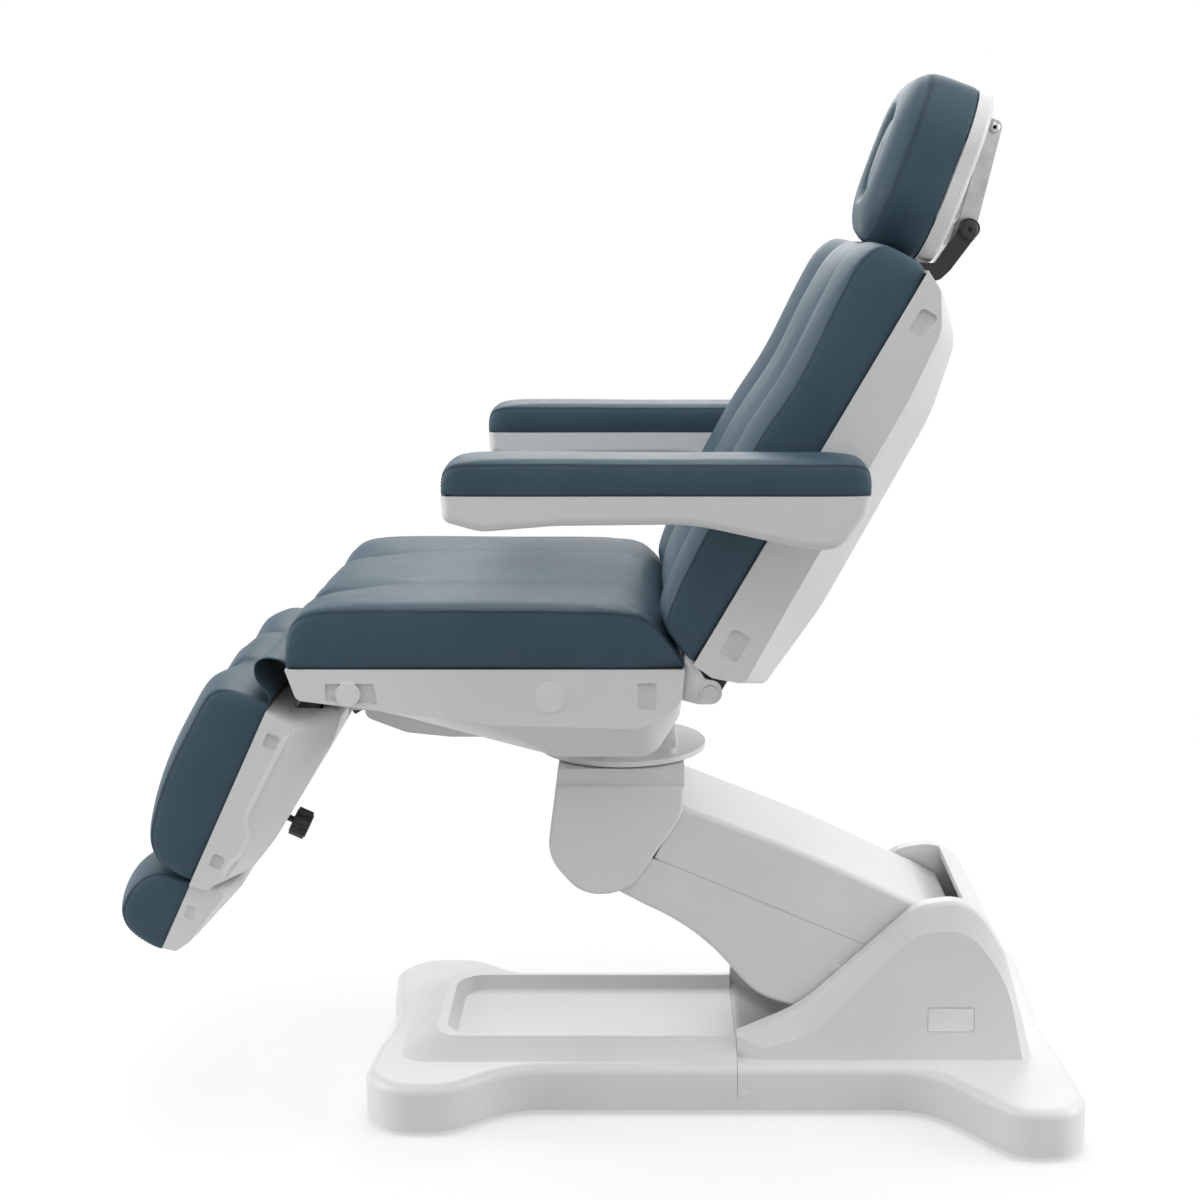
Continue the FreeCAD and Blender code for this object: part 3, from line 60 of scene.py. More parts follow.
class Wire:
    """A socket in a finish's node tree. Arithmetic on it adds Math nodes, node() adds any other node."""

    def __init__(self, tree, socket=None):
        self.tree, self.socket = tree, socket

    def node(self, kind, settings=None, inputs=None, out=0):
        """A new node with its settings and inputs, as a wire from the output of that name or number."""
        made = self.tree.nodes.new("ShaderNode" + kind)
        for name, value in (settings or {}).items():
            if name == "stops":
                ramp = made.color_ramp
                ramp.elements[0].position, ramp.elements[0].color = value[0]
                ramp.elements[1].position, ramp.elements[1].color = value[-1]
                for place, colour in value[1:-1]:
                    ramp.elements.new(place).color = colour
            else:
                setattr(made, name, value)
        for name, value in (inputs or {}).items():
            if isinstance(value, Wire):
                self.tree.links.new(value.socket, made.inputs[name])
            else:
                made.inputs[name].default_value = value
        return Wire(self.tree, made.outputs[out])

    def sink(self, kind, shader):
        """The end of the tree, which takes the finished shader."""
        self.tree.links.new(shader.socket, self.tree.nodes.new("ShaderNode" + kind).inputs["Surface"])

    def math(self, operation, *values):
        return self.node("Math", {"operation": operation}, dict(enumerate(values)))

    def __add__(self, other):
        return self.math("ADD", self, other)

    def __radd__(self, other):
        return self.math("ADD", other, self)

    def __sub__(self, other):
        return self.math("SUBTRACT", self, other)

    def __rsub__(self, other):
        return self.math("SUBTRACT", other, self)

    def __mul__(self, other):
        return self.math("MULTIPLY", self, other)

    def __rmul__(self, other):
        return self.math("MULTIPLY", other, self)

    def step(self, low, high):
        """0 below low, 1 above high, smooth between."""
        return self.node("MapRange", {"interpolation_type": "SMOOTHSTEP"},
                         {"Value": self, "From Min": low, "From Max": high})

    def noise(self, place, scale, detail=3.0, rough=0.5, stretch=None):
        """Fractal noise at a scale per metre, stretched along an axis if asked."""
        if stretch:
            place = place.node("Mapping", None, {"Vector": place, "Scale": stretch})
        return self.node("TexNoise", None,
                         {"Vector": place, "Scale": scale, "Detail": detail, "Roughness": rough})

    def mix(self, share, first, second):
        """Colours mixed by a share."""
        return self.node("Mix", {"data_type": "RGBA"},
                         {MIX_SHARE: share, MIX_FIRST: first, MIX_SECOND: second}, MIX_RESULT)


def rgb(red, green, blue):
    return (red, green, blue, 1.0)


def finish(name, colour, paint, **constants):
    """A finish: paint(wire, place) gives the sockets that vary, and the constants are set on the shader."""
    material = bpy.data.materials.new(name)
    material.use_nodes = True
    material.diffuse_color = colour
    tree = material.node_tree
    tree.nodes.clear()
    wire = Wire(tree)
    place = wire.node("TexCoord", None, None, "Object")
    inputs = dict(constants)
    inputs.update(paint(wire, place))
    wire.sink("OutputMaterial", wire.node("BsdfPrincipled", None, inputs))
    return material


def vinyl_paint(wire, place):
    """Slate blue upholstery vinyl: pebbled grain, slow drifts of tone, and painted shade that darkens the
    tucks.
    """
    tuck = wire.node("Attribute", {"attribute_name": "tuck"}, None, "Fac")
    cells = wire.node("TexVoronoi", {"feature": "DISTANCE_TO_EDGE"}, {"Vector": place, "Scale": 780.0})
    pebble = cells.step(0.0, 0.22)
    fine = wire.noise(place, 2600.0, 2.0)
    broad = wire.noise(place, 7.0, 4.0, 0.55)
    patch = wire.noise(place, 46.0, 3.0)
    drawn = wire.noise(place, 24.0, 2.0, 0.5, (1.0, 1.0, 2.6))
    tone = wire.mix(broad.step(0.32, 0.7), rgb(0.047, 0.087, 0.116), rgb(0.056, 0.100, 0.132))
    tone = wire.mix(patch.step(0.5, 0.78) * 0.25, tone, rgb(0.066, 0.112, 0.145))
    tone = wire.mix((1 - pebble) * 0.30, tone, rgb(0.031, 0.058, 0.078))
    # Painted shade: the colour darkens where the cover is drawn into seams and channels
    tone = wire.mix(tuck * 0.6, tone, rgb(0.018, 0.035, 0.048))
    height = pebble * 0.5 + fine * 0.25 + drawn * 1.2
    bump = wire.node("Bump", None, {"Strength": 0.22, "Distance": 0.0004, "Height": height})
    rough = 0.47 + patch * 0.10 - broad * 0.08 + tuck * 0.15
    return {"Base Color": tone, "Roughness": rough, "Normal": bump}


def shell_paint(wire, place):
    """White moulded shell: fine spark texture, a breath of unevenness, faint handling marks."""
    spark = wire.noise(place, 1500.0, 2.0, 0.6)
    drift = wire.noise(place, 5.0, 3.0, 0.5)
    marks = wire.noise(place, 60.0, 5.0, 0.62)
    tone = wire.mix(drift.step(0.3, 0.72), rgb(0.748, 0.753, 0.755), rgb(0.792, 0.794, 0.792))
    tone = wire.mix(marks.step(0.62, 0.86) * 0.22, tone, rgb(0.66, 0.655, 0.64))
    bump = wire.node("Bump", None, {"Strength": 0.14, "Distance": 0.0002, "Height": spark + drift * 2.0})
    return {"Base Color": tone, "Roughness": 0.34 + marks * 0.12 - drift * 0.06, "Normal": bump}


def trim_paint(wire, place):
    """Small white caps: smoother and a little brighter than the shells."""
    spark = wire.noise(place, 900.0, 3.0, 0.55)
    drift = wire.noise(place, 30.0, 3.0, 0.5)
    tone = wire.mix(drift.step(0.35, 0.7), rgb(0.78, 0.785, 0.79), rgb(0.82, 0.822, 0.82))
    bump = wire.node("Bump", None, {"Strength": 0.10, "Distance": 0.0002, "Height": spark + drift})
    return {"Base Color": tone, "Roughness": 0.27 + drift * 0.14, "Normal": bump}


def enamel_paint(wire, place):
    """White powder coat on steel: orange peel and a few chips to grey primer."""
    peel = wire.noise(place, 420.0, 2.0, 0.5)
    drift = wire.noise(place, 18.0, 4.0, 0.55)
    chips = wire.noise(place, 140.0, 5.0, 0.7).step(0.74, 0.77)
    tone = wire.mix(drift.step(0.3, 0.7), rgb(0.75, 0.755, 0.76), rgb(0.80, 0.805, 0.805))
    tone = wire.mix(chips * 0.6, tone, rgb(0.40, 0.40, 0.40))
    bump = wire.node("Bump", None, {"Strength": 0.25, "Distance": 0.0004, "Height": peel - chips * 0.6})
    return {"Base Color": tone, "Roughness": 0.36 + drift * 0.12, "Normal": bump}


def frame_paint(wire, place):
    """Black powder coat on the hidden steel frames: orange peel, rubbed grey on some patches."""
    peel = wire.noise(place, 380.0, 2.0, 0.5)
    rub = wire.noise(place, 22.0, 5.0, 0.6)
    tone = wire.mix(rub.step(0.45, 0.75), rgb(0.022, 0.022, 0.024), rgb(0.055, 0.055, 0.058))
    bump = wire.node("Bump", None, {"Strength": 0.3, "Distance": 0.0004, "Height": peel})
    return {"Base Color": tone, "Roughness": 0.48 + rub * 0.18, "Normal": bump}


def steel_paint(wire, place):
    """Zinc plated steel: drawn streaks, cloudy plating and darker spots."""
    streak = wire.noise(place, 120.0, 4.0, 0.6, (1.0, 9.0, 0.6))
    cloud = wire.noise(place, 26.0, 4.0, 0.55)
    spots = wire.noise(place, 210.0, 3.0, 0.6).step(0.66, 0.8)
    tone = wire.mix(cloud.step(0.3, 0.72), rgb(0.37, 0.375, 0.38), rgb(0.48, 0.485, 0.49))
    tone = wire.mix(spots * 0.35, tone, rgb(0.25, 0.245, 0.24))
    bump = wire.node("Bump", None, {"Strength": 0.18, "Distance": 0.0002, "Height": streak})
    return {"Base Color": tone, "Roughness": 0.26 + streak * 0.16 + spots * 0.1, "Normal": bump}


def black_paint(wire, place):
    """Moulded black grips: leathery spark texture, greyed by hands."""
    cells = wire.node("TexVoronoi", {"feature": "DISTANCE_TO_EDGE"}, {"Vector": place, "Scale": 900.0})
    grain = cells.step(0.0, 0.3)
    worn = wire.noise(place, 60.0, 4.0, 0.55)
    tone = wire.mix(worn.step(0.4, 0.75), rgb(0.012, 0.012, 0.013), rgb(0.030, 0.030, 0.031))
    bump = wire.node("Bump", None, {"Strength": 0.3, "Distance": 0.0003, "Height": grain + worn * 0.4})
    return {"Base Color": tone, "Roughness": 0.40 + worn * 0.2, "Normal": bump}


def plywood_paint(wire, place):
    """Raw plywood: long grain, figure and open pores."""
    figure = wire.noise(place, 16.0, 5.0, 0.6, (0.5, 5.0, 5.0))
    pores = wire.noise(place, 420.0, 2.0, 0.6, (0.15, 1.0, 1.0))
    stops = [(0.2, rgb(0.34, 0.22, 0.12)), (0.5, rgb(0.48, 0.34, 0.20)), (0.8, rgb(0.58, 0.43, 0.27))]
    tone = wire.node("ValToRGB", {"stops": stops}, {"Fac": figure})
    tone = wire.mix(pores.step(0.6, 0.8) * 0.4, tone, rgb(0.20, 0.13, 0.07))
    bump = wire.node("Bump", None, {"Strength": 0.3, "Distance": 0.0004, "Height": figure + pores})
    return {"Base Color": tone, "Roughness": 0.62 + pores * 0.15, "Normal": bump}


def rubber_paint(wire, place):
    """Matte rubber feet with a dusty bloom."""
    bloom = wire.noise(place, 70.0, 5.0, 0.6)
    fine = wire.noise(place, 1200.0, 2.0, 0.5)
    tone = wire.mix(bloom.step(0.4, 0.8), rgb(0.018, 0.018, 0.018), rgb(0.055, 0.053, 0.050))
    bump = wire.node("Bump", None, {"Strength": 0.25, "Distance": 0.0003, "Height": fine})
    return {"Base Color": tone, "Roughness": 0.70 + bloom * 0.15, "Normal": bump}


def thread_paint(wire, place):
    """Twisted polyester thread, a touch darker than the vinyl."""
    twist = wire.noise(place, 1900.0, 2.0, 0.5)
    tone = wire.mix(twist.step(0.35, 0.65), rgb(0.018, 0.032, 0.043), rgb(0.048, 0.078, 0.100))
    bump = wire.node("Bump", None, {"Strength": 0.4, "Distance": 0.0002, "Height": twist})
    return {"Base Color": tone, "Roughness": 0.5 + twist * 0.2, "Normal": bump}


def welt_paint(wire, place):
    """Raw brown edge of the cover, pulled over the board and stapled."""
    weave = wire.noise(place, 700.0, 3.0, 0.6)
    stain = wire.noise(place, 40.0, 3.0, 0.55)
    tone = wire.mix(stain.step(0.3, 0.7), rgb(0.070, 0.052, 0.042), rgb(0.135, 0.104, 0.084))
    bump = wire.node("Bump", None, {"Strength": 0.35, "Distance": 0.0003, "Height": weave})
    return {"Base Color": tone, "Roughness": 0.68 + weave * 0.12, "Normal": bump}


def plate_paint(wire, place):
    """Brushed aluminium plate, left bare."""
    brush = wire.noise(place, 260.0, 4.0, 0.65, (0.12, 1.0, 6.0))
    cloud = wire.noise(place, 35.0, 3.0, 0.5)
    tone = wire.mix(brush.step(0.3, 0.7), rgb(0.55, 0.555, 0.56), rgb(0.66, 0.665, 0.67))
    bump = wire.node("Bump", None, {"Strength": 0.2, "Distance": 0.0002, "Height": brush})
    return {"Base Color": tone, "Roughness": 0.30 + brush * 0.14 + cloud * 0.06, "Normal": bump}


VINYL = finish("slate_vinyl", rgb(0.06, 0.10, 0.13), vinyl_paint,
               **{"IOR": 1.5, "Specular IOR Level": 0.22})
SHELL = finish("white_moulding", rgb(0.78, 0.78, 0.78), shell_paint, **{"IOR": 1.48})
TRIM = finish("white_caps", rgb(0.8, 0.8, 0.8), trim_paint, **{"IOR": 1.48})
ENAMEL = finish("white_enamel", rgb(0.75, 0.75, 0.75), enamel_paint, **{"IOR": 1.5})
FRAME = finish("black_frame_coat", rgb(0.03, 0.03, 0.03), frame_paint, **{"IOR": 1.5})
STEEL = finish("zinc_steel", rgb(0.58, 0.58, 0.58), steel_paint, **{"Metallic": 1.0})
BLACK = finish("black_grip", rgb(0.02, 0.02, 0.02), black_paint, **{"IOR": 1.46})
PLYWOOD = finish("raw_plywood", rgb(0.48, 0.34, 0.2), plywood_paint, **{"IOR": 1.45})
RUBBER = finish("dusty_rubber", rgb(0.03, 0.03, 0.03), rubber_paint, **{"IOR": 1.5})
THREAD = finish("seam_thread", rgb(0.06, 0.09, 0.11), thread_paint, **{"IOR": 1.5})
WELT = finish("cover_edge", rgb(0.1, 0.08, 0.06), welt_paint, **{"IOR": 1.45})
PLATE = finish("bare_plate", rgb(0.6, 0.6, 0.6), plate_paint, **{"Metallic": 1.0})

FINISH_OF_SLOT = {"white_shell": SHELL, "white_trim": TRIM, "vinyl": VINYL, "frame_paint": FRAME,
                  "white_paint": ENAMEL, "steel": STEEL, "black_plastic": BLACK, "plywood": PLYWOOD,
                  "foot_rubber": RUBBER}

# Each CAD node takes the finish of its slot
for part in frame["record"]["subparts"]:
    mesh = frame["nodes"][part["node"]].data
    mesh.materials.clear()
    mesh.materials.append(FINISH_OF_SLOT[part["material_slot"]])


def section_frame(x, z, angle, turn=1):
    """Frame of a section from its hinge line and angle: x along the section, z out of its upholstered face.
    A turn of -1 rolls it over."""
    c, s = cos(radians(angle)), sin(radians(angle))
    return Matrix(((c, 0, -turn * s, x * MM), (0, turn, 0, 0), (s, 0, turn * c, z * MM), (0, 0, 0, 1)))


# Sections at rest: hinge line in millimetres, angle in degrees. The seat lies in the table's own frame.
HEAD_PIVOT = (566.8, 1488.0)
SEAT = Matrix.Identity(4)
BACK = section_frame(153, 684, 60)
LEG = section_frame(-418, 688, 245, -1)
HEAD = section_frame(*HEAD_PIVOT, 70)


def bell(distance, width):
    """1 at no distance, falling off over a width."""
    return exp(-(distance / width) ** 2)


def flow(points, steps):
    """Points on a smooth line through the given ones, with so many steps in each span."""
    knots = [0.0]
    for a, b in zip(points, points[1:]):
        knots.append(knots[-1] + max((b - a).length, TINY))
    last = len(points) - 1
    slopes = []
    for i in range(last + 1):
        low, high = max(i - 1, 0), min(i + 1, last)
        slopes.append((points[high] - points[low]) / (knots[high] - knots[low]))
    line = []
    for i in range(last):
        span = knots[i + 1] - knots[i]
        for k in range(steps[i]):
            t = k / steps[i]
            u = 1 - t
            line.append(points[i] * (u * u * (1 + 2 * t)) + points[i + 1] * (t * t * (3 - 2 * t))
                        + slopes[i] * (span * t * u * u) - slopes[i + 1] * (span * t * t * u))
    line.append(points[last].copy())
    return line


def piece(name, bm, *finishes):
    """An object from a bmesh that is already in its place on the table."""
    mesh = bpy.data.meshes.new(name)
    bm.to_mesh(mesh)
    bm.free()
    obj = bpy.data.objects.new(name, mesh)
    bpy.context.scene.collection.objects.link(obj)
    for material in finishes:
        mesh.materials.append(material)
    mesh.polygons.foreach_set("use_smooth", [True] * len(mesh.polygons))
    return obj


def laid_grid(columns, rows, place, crease=None):
    """A flat grid laid over place(i, j). crease(i, j) marks its tucks."""
    bm = bmesh.new()
    bmesh.ops.create_grid(bm, x_segments=columns, y_segments=rows, size=1.0)
    tuck = bm.verts.layers.float.new("tuck") if crease else None
    for v in bm.verts:
        i, j = round((v.co.x + 1) / 2 * columns), round((v.co.y + 1) / 2 * rows)
        if crease:
            v[tuck] = crease(i, j)
        v.co = place(i, j)
    return bm


def skin(columns, around, place, crease=None):
    """A closed skin: a laid grid, sewn where its edges meet."""
    bm = laid_grid(columns, around, place, crease)
    bmesh.ops.remove_doubles(bm, verts=bm.verts, dist=SEWN_WITHIN)
    bmesh.ops.dissolve_degenerate(bm, edges=bm.edges, dist=SLIVER)
    bmesh.ops.recalc_face_normals(bm, faces=bm.faces)
    return bm


def settle(obj):
    """Bakes the live modifiers into the mesh."""
    bpy.context.view_layer.update()
    shaped = obj.evaluated_get(bpy.context.evaluated_depsgraph_get())
    mesh = bpy.data.meshes.new_from_object(shaped)
    mesh.name = obj.name
    obj.modifiers.clear()
    obj.data = mesh


def puff(obj, held, caps, pressure=4.0, frames=16):
    """Foam pushes the cover out: pressure cloth, held where it is sewn or pulled under, each point kept
    within its own cap."""
    group = obj.vertex_groups.new(name="sewn")
    for index, weight in enumerate(held):
        if weight > 0.01:
            group.add([index], weight, "REPLACE")
    rest = [v.co.copy() for v in obj.data.vertices]
    cover = obj.modifiers.new("fill", "CLOTH")
    cloth = cover.settings
    cloth.quality = 5
    cloth.mass = 0.4
    cloth.tension_stiffness = 18
    cloth.compression_stiffness = 18
    cloth.shear_stiffness = 8
    cloth.bending_stiffness = 2.0
    cloth.use_pressure = True
    cloth.uniform_pressure_force = pressure
    cloth.effector_weights.gravity = 0
    cloth.vertex_group_mass = "sewn"
    cover.collision_settings.use_collision = False
    cover.point_cache.frame_start = 1
    cover.point_cache.frame_end = frames
    scene = bpy.context.scene
    for number in range(1, frames + 1):
        scene.frame_set(number)
    shaped = obj.evaluated_get(bpy.context.evaluated_depsgraph_get())
    moved = [v.co.copy() for v in shaped.data.vertices]
    obj.modifiers.remove(cover)
    scene.frame_set(1)
    for v, start, end, cap in zip(obj.data.vertices, rest, moved, caps):
        move = end - start
        v.co = start + move * min(1.0, cap / max(move.length, TINY))
    obj.vertex_groups.clear()


def round_off(obj):
    """One round of subdivision, baked."""
    smooth = obj.modifiers.new("round", "SUBSURF")
    smooth.levels = smooth.render_levels = 1
    settle(obj)
    obj.data.polygons.foreach_set("use_smooth", [True] * len(obj.data.polygons))


STITCH_PITCH, STITCH_LENGTH, STITCH_WIDTH = 5.2, 3.6, 0.85
STITCH_RISE, STITCH_LIFT = 0.55, 0.1
STITCHES_AT_ONCE = 40


def stitches(name, lines, cover, body):
    """Separate thread stitches along lines of points, laid on the cover below them."""
    tree = BVHTree.FromObject(cover, bpy.context.evaluated_depsgraph_get())
    size = Matrix.Diagonal((STITCH_LENGTH * MM / 2, STITCH_WIDTH * MM / 2, STITCH_RISE * MM, 1))
    spots = []
    for line in lines:
        gone, due = 0.0, 0.0
        for a, b in zip(line, line[1:]):
            run = (b - a).length
            while run > TINY and due <= gone + run:
                spot = a.lerp(b, (due - gone) / run)
                near, normal, _, _ = tree.find_nearest(spot)
                along = (b - a).normalized()
                across = normal.cross(along).normalized()
                along = across.cross(normal).normalized()
                turn = Matrix((along, across, normal)).transposed().to_4x4()
                spots.append(Matrix.Translation(near + normal * STITCH_LIFT * MM) @ turn @ size)
                due += STITCH_PITCH * MM
            gone += run
    # Made in short rows, because adding to one large mesh grows slow
    bm = bmesh.new()
    for first in range(0, len(spots), STITCHES_AT_ONCE):
        row = bmesh.new()
        for spot in spots[first:first + STITCHES_AT_ONCE]:
            bmesh.ops.create_uvsphere(row, u_segments=6, v_segments=4, radius=1.0, matrix=spot)
        thread = bpy.data.meshes.new("thread_row")
        row.to_mesh(thread)
        row.free()
        bm.from_mesh(thread)
        bpy.data.meshes.remove(thread)
    obj = piece(name, bm, THREAD)
    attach(obj, body)


def bolstered(half, tall, crown, panel, groove):
    """Half a section across, from the middle of the underside round to the middle of the top: boxed side,
    seam, bolster, sewn channel, middle panel."""
    seam = max(tall - 6, tall * 0.6)
    top = tall + crown
    underside = [(0, 0), (-half + 7, 0), (-half + 0.6, 1.4)]
    side = [(-half - 0.03 * tall - 1, 0.42 * tall), (-half - 0.6, seam - 2.6), (-half + 2.0, seam)]
    bolster = [(-half + 1.6, seam + 2.5), (-half + 9.5, tall + 0.4),
               (-(half * 0.72 + panel * 0.28), tall + crown * 0.8), (-(half + panel) / 2, top)]
    middle = [(-panel, top - groove), (-panel + 15, top - 0.5 * groove), (0, top - 0.12 * groove)]
    return underside + side + bolster + middle


def plain_crowned(half, tall, crown, panel, groove):
    """Half a section across of a narrow pad, which has no panel or groove: boxed side, seam and one crowned
    top."""
    seam = max(tall - 4, tall * 0.6)
    underside = [(0, 0), (-half + 7, 0), (-half + 0.6, 1.4)]
    side = [(-half - 1.6, 0.42 * tall), (-half - 0.6, seam - 2.2), (-half + 1.7, seam)]
    top = [(-half + 1.3, seam + 2.1), (-half + 6.8, tall + 0.3), (-half * 0.62, tall + crown * 0.62),
           (0, tall + crown)]
    return underside + side + top


# Steps in each span of those sections, and the points of them that are sewn
BOLSTERED_SPANS = (6, 2, 5, 4, 1, 1, 3, 4, 4, 5, 3, 8)
CROWNED_SPANS = (5, 2, 4, 3, 1, 1, 3, 4, 6)
SEAM_POINT, CHANNEL_POINT = 5, 10
NO_CHANNEL = -99

# Rucks and tucks along the sewn lines: height in millimetres, width in rows of the cover
SEAM_RUCK, SEAM_RUCK_ROWS, SEAM_TUCK_ROWS = 0.9, 2.2, 0.55
CHANNEL_RUCK, CHANNEL_RUCK_ROWS, CHANNEL_TUCK_ROWS = 1.3, 2.6, 1.1
RUCK_LEAN = 0.6

STATION_STEP, STITCH_MARGIN = 11, 2
THINNEST, RAW_EDGE = 0.4, 1.2
HELD_UNDER, TUCK_GRIP = 6, 1.4
SIDE_BAND, SIDE_SWELL = 14, 2.5


def even_channel(x):
    """A channel of one depth all along."""
    return 1.0


def upholstered(name, node, body, home, across, spans, half, edge, crown, panel, groove, base, stations,
                swell, depth=even_channel):
    """A boxed cushion laid through stations (x, share of the edge height, inset of the sides, lift), puffed
    out between its seams, with stitching along them. depth(x) scales the sewn channels."""
    keys = [Vector((x, edge * share, drawn, lift)) for x, share, drawn, lift in stations]
    steps = [max(2, round((b - a).length / STATION_STEP)) for a, b in zip(keys, keys[1:])]
    rows = flow(keys, steps)
    full = max(k[1] for k in keys)
    marks = [sum(spans[:k]) for k in range(len(spans) + 1)]
    seam = marks[SEAM_POINT]
    channel = marks[CHANNEL_POINT] if len(spans) > CHANNEL_POINT else NO_CHANNEL
    rings = []
    for x, tall, drawn, lift in rows:
        share = max(tall / edge, 0.0)
        dip = groove * share * depth(x)
        points = across(half - drawn, max(tall, THINNEST), crown * share, panel, dip)
        left = flow([Vector(p) for p in points], spans)
        ring = left + [Vector((-p.x, p.y)) for p in reversed(left[1:-1])] + [left[0]]
        rings.append([Vector((x, p.x, base + lift + p.y)) for p in ring])
    around = len(rings[0]) - 1

    def place(i, j):
        """A point of the cover, rucked a little along its seams and channels, on each side differently."""
        x, y, z = rings[i][j]
        share = min(1.0, max(rows[i][1], 0) / full)
        k = min(j, around - j)
        seed, lean = (3.1, RUCK_LEAN) if y > 0 else (7.7, -RUCK_LEAN)
        seam_waves = noise.noise((x * 0.06, seed, 0.4 * k))
        channel_waves = noise.noise((x * 0.045, seed + 8, 0.3 * k))
        ruck = seam_waves * SEAM_RUCK * bell(k - seam, SEAM_RUCK_ROWS)
        ruck += channel_waves * CHANNEL_RUCK * bell(k - channel, CHANNEL_RUCK_ROWS)
        return home @ (Vector((x, y + lean * ruck * share, z + ruck * share)) * MM)

    def crease(i, j):
        """How far a point is drawn into a seam or channel, from 0 to 1."""
        k = min(j, around - j)
        sewn = bell(k - channel, CHANNEL_TUCK_ROWS) * depth(rows[i][0])
        return min(1.0, sewn + bell(k - seam, SEAM_TUCK_ROWS))

    obj = piece(name, skin(len(rings) - 1, around, place, crease), VINYL, WELT)
    inverse = home.inverted()
    held, caps = [], []
    tuck = obj.data.attributes["tuck"].data
    for v in obj.data.vertices:
        local = inverse @ v.co / MM
        held.append(1.0 if local.z < base + HELD_UNDER else min(1.0, tuck[v.index].value * TUCK_GRIP))
        caps.append((min(SIDE_SWELL, swell) if abs(local.y) > half - SIDE_BAND else swell) * MM)
    puff(obj, held, caps)
    round_off(obj)
    for polygon in obj.data.polygons:
        if (inverse @ polygon.center / MM).z < base + RAW_EDGE:
            polygon.material_index = 1
    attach(obj, body)
    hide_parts(node)
    sewn_rows = range(STITCH_MARGIN, len(rings) - STITCH_MARGIN)
    lines = [[place(i, j) for i in sewn_rows] for j in (seam + 1, around - seam - 1)]
    stitches(name + "_stitching", lines, obj, body)


seat_start, seat_end = -447, 115


def seat_channel(x):
    """The seat's channels are deepest at the front edge and fade towards the back."""
    return 0.16 + 1.04 * bell(x - seat_start, 95)


upholstered(
    "seat_upholstery", "seat_cushion", "seat", SEAT, bolstered, BOLSTERED_SPANS,
    half=315, edge=87, crown=3, panel=140, groove=11, base=736, swell=2.5, depth=seat_channel,
    stations=[(seat_start + 4, 0.0, 9, 0), (seat_start + 0.8, 0.16, 8, 0), (seat_start + 1, 0.42, 6, 0),
              (seat_start + 8, 0.72, 3, 0), (seat_start + 26, 0.92, 1, 0), (seat_start + 70, 1, 0, 0),
              (-166, 1.01, 1.5, 0), (seat_end - 150, 1, 0, 0), (seat_end - 70, 0.94, 0, 0),
              (seat_end - 48, 0.8, 2, 0), (seat_end - 20, 0.44, 5, 0), (seat_end - 4, 0.16, 8, 0),
              (seat_end - 2, 0.0, 10, 0)])

upholstered(
    "back_upholstery", "back_cushion", "backrest", BACK, bolstered, BOLSTERED_SPANS,
    half=315, edge=82, crown=9, panel=140, groove=19, base=52, swell=6,
    stations=[(42, 0.0, 11, 0), (41, 0.12, 9, 0), (46, 0.3, 6, 0), (55, 0.55, 4, 0), (67, 0.78, 2, 0),
              (100, 0.9, 1, 0), (190, 0.99, 0, 0), (354, 1.04, 0, 0), (454, 0.98, 0, 0), (568, 1.08, 0, 0),
              (624, 1.1, 0, 0), (650, 1.02, 3, 0), (664, 0.88, 9, 2), (671, 0.52, 18, 10),
              (671.5, 0.25, 23, 14), (669, 0.0, 27, 17)])

upholstered(
    "leg_upholstery", "leg_cushion", "leg_rest", LEG, bolstered, BOLSTERED_SPANS,
    half=302, edge=88, crown=11, panel=101.7, groove=17, base=48, swell=6,
    stations=[(34, 0.0, 11, 0), (32, 0.25, 9, 0), (32.5, 0.5, 8, 0), (37, 0.8, 4, 0), (52, 0.98, 1, 0),
              (95, 1.04, 0, 0), (180, 1.08, 0, 0), (254, 1, 0, 0), (290, 0.88, 1, 0), (312, 0.64, 4, 0),
              (319, 0.3, 8, 0), (318, 0.0, 11, 0)])

upholstered(
    "foot_upholstery", "foot_cushion", "foot_extension", LEG, bolstered, BOLSTERED_SPANS,
    half=287, edge=76, crown=11, panel=96.7, groove=13, base=48, swell=5,
    stations=[(331.5, 0.0, 10, 0), (330, 0.2, 8.5, 0), (330.5, 0.4, 7, 0), (336, 0.7, 3, 0),
              (360, 0.98, 0, 0), (406, 1.04, 0, 0), (428, 0.86, 3, 0), (442, 0.5, 9, 0),
              (443.5, 0.2, 12, 0), (442, 0.0, 14, 0)])

arm_front, arm_rear, arm_line, arm_middle = -209.9, 358.1, 999.5, 390
for label, side in (("right", -1), ("left", 1)):
    upholstered(
        label + "_arm_upholstery", label + "_arm_pad", label + "_armrest",
        Matrix.Translation((0, side * arm_middle * MM, 0)), plain_crowned, CROWNED_SPANS,
        half=58, edge=44, crown=3, panel=0, groove=0, base=arm_line, swell=2,
        stations=[(arm_front + 3, 0.0, 18, 0), (arm_front + 0.4, 0.2, 15, 0), (arm_front + 1, 0.5, 12, 0),
                  (arm_front + 6, 0.82, 6, 0), (arm_front + 26, 1, 0, 0), (74, 1.0, 1.2, 0),
                  (arm_rear - 60, 1, 0, 0), (arm_rear - 20, 0.97, 2.5, 0), (arm_rear - 6, 0.84, 7, 0),
                  (arm_rear - 0.8, 0.5, 12, 0), (arm_rear - 0.6, 0.2, 16, 0), (arm_rear - 3, 0.0, 19, 0)])


# Headrest: a rounded cushion with a face hole, and the padded plug that closes the hole.
# An outline is half its length, half its width and its corner radius.

HEAD_CENTRE, HEAD_BASE = -87, 41
HEAD_OUTLINE, HEAD_LEAST_CORNER = (131, 142, 96), 30
HOLE_OUTLINE, HOLE_RIM = (66, 44, 43), 2
PAD_COLUMNS, PAD_TUCK_ROWS = 104, 0.6
PAD_HELD_UNDER = 5
HALVINGS = 40


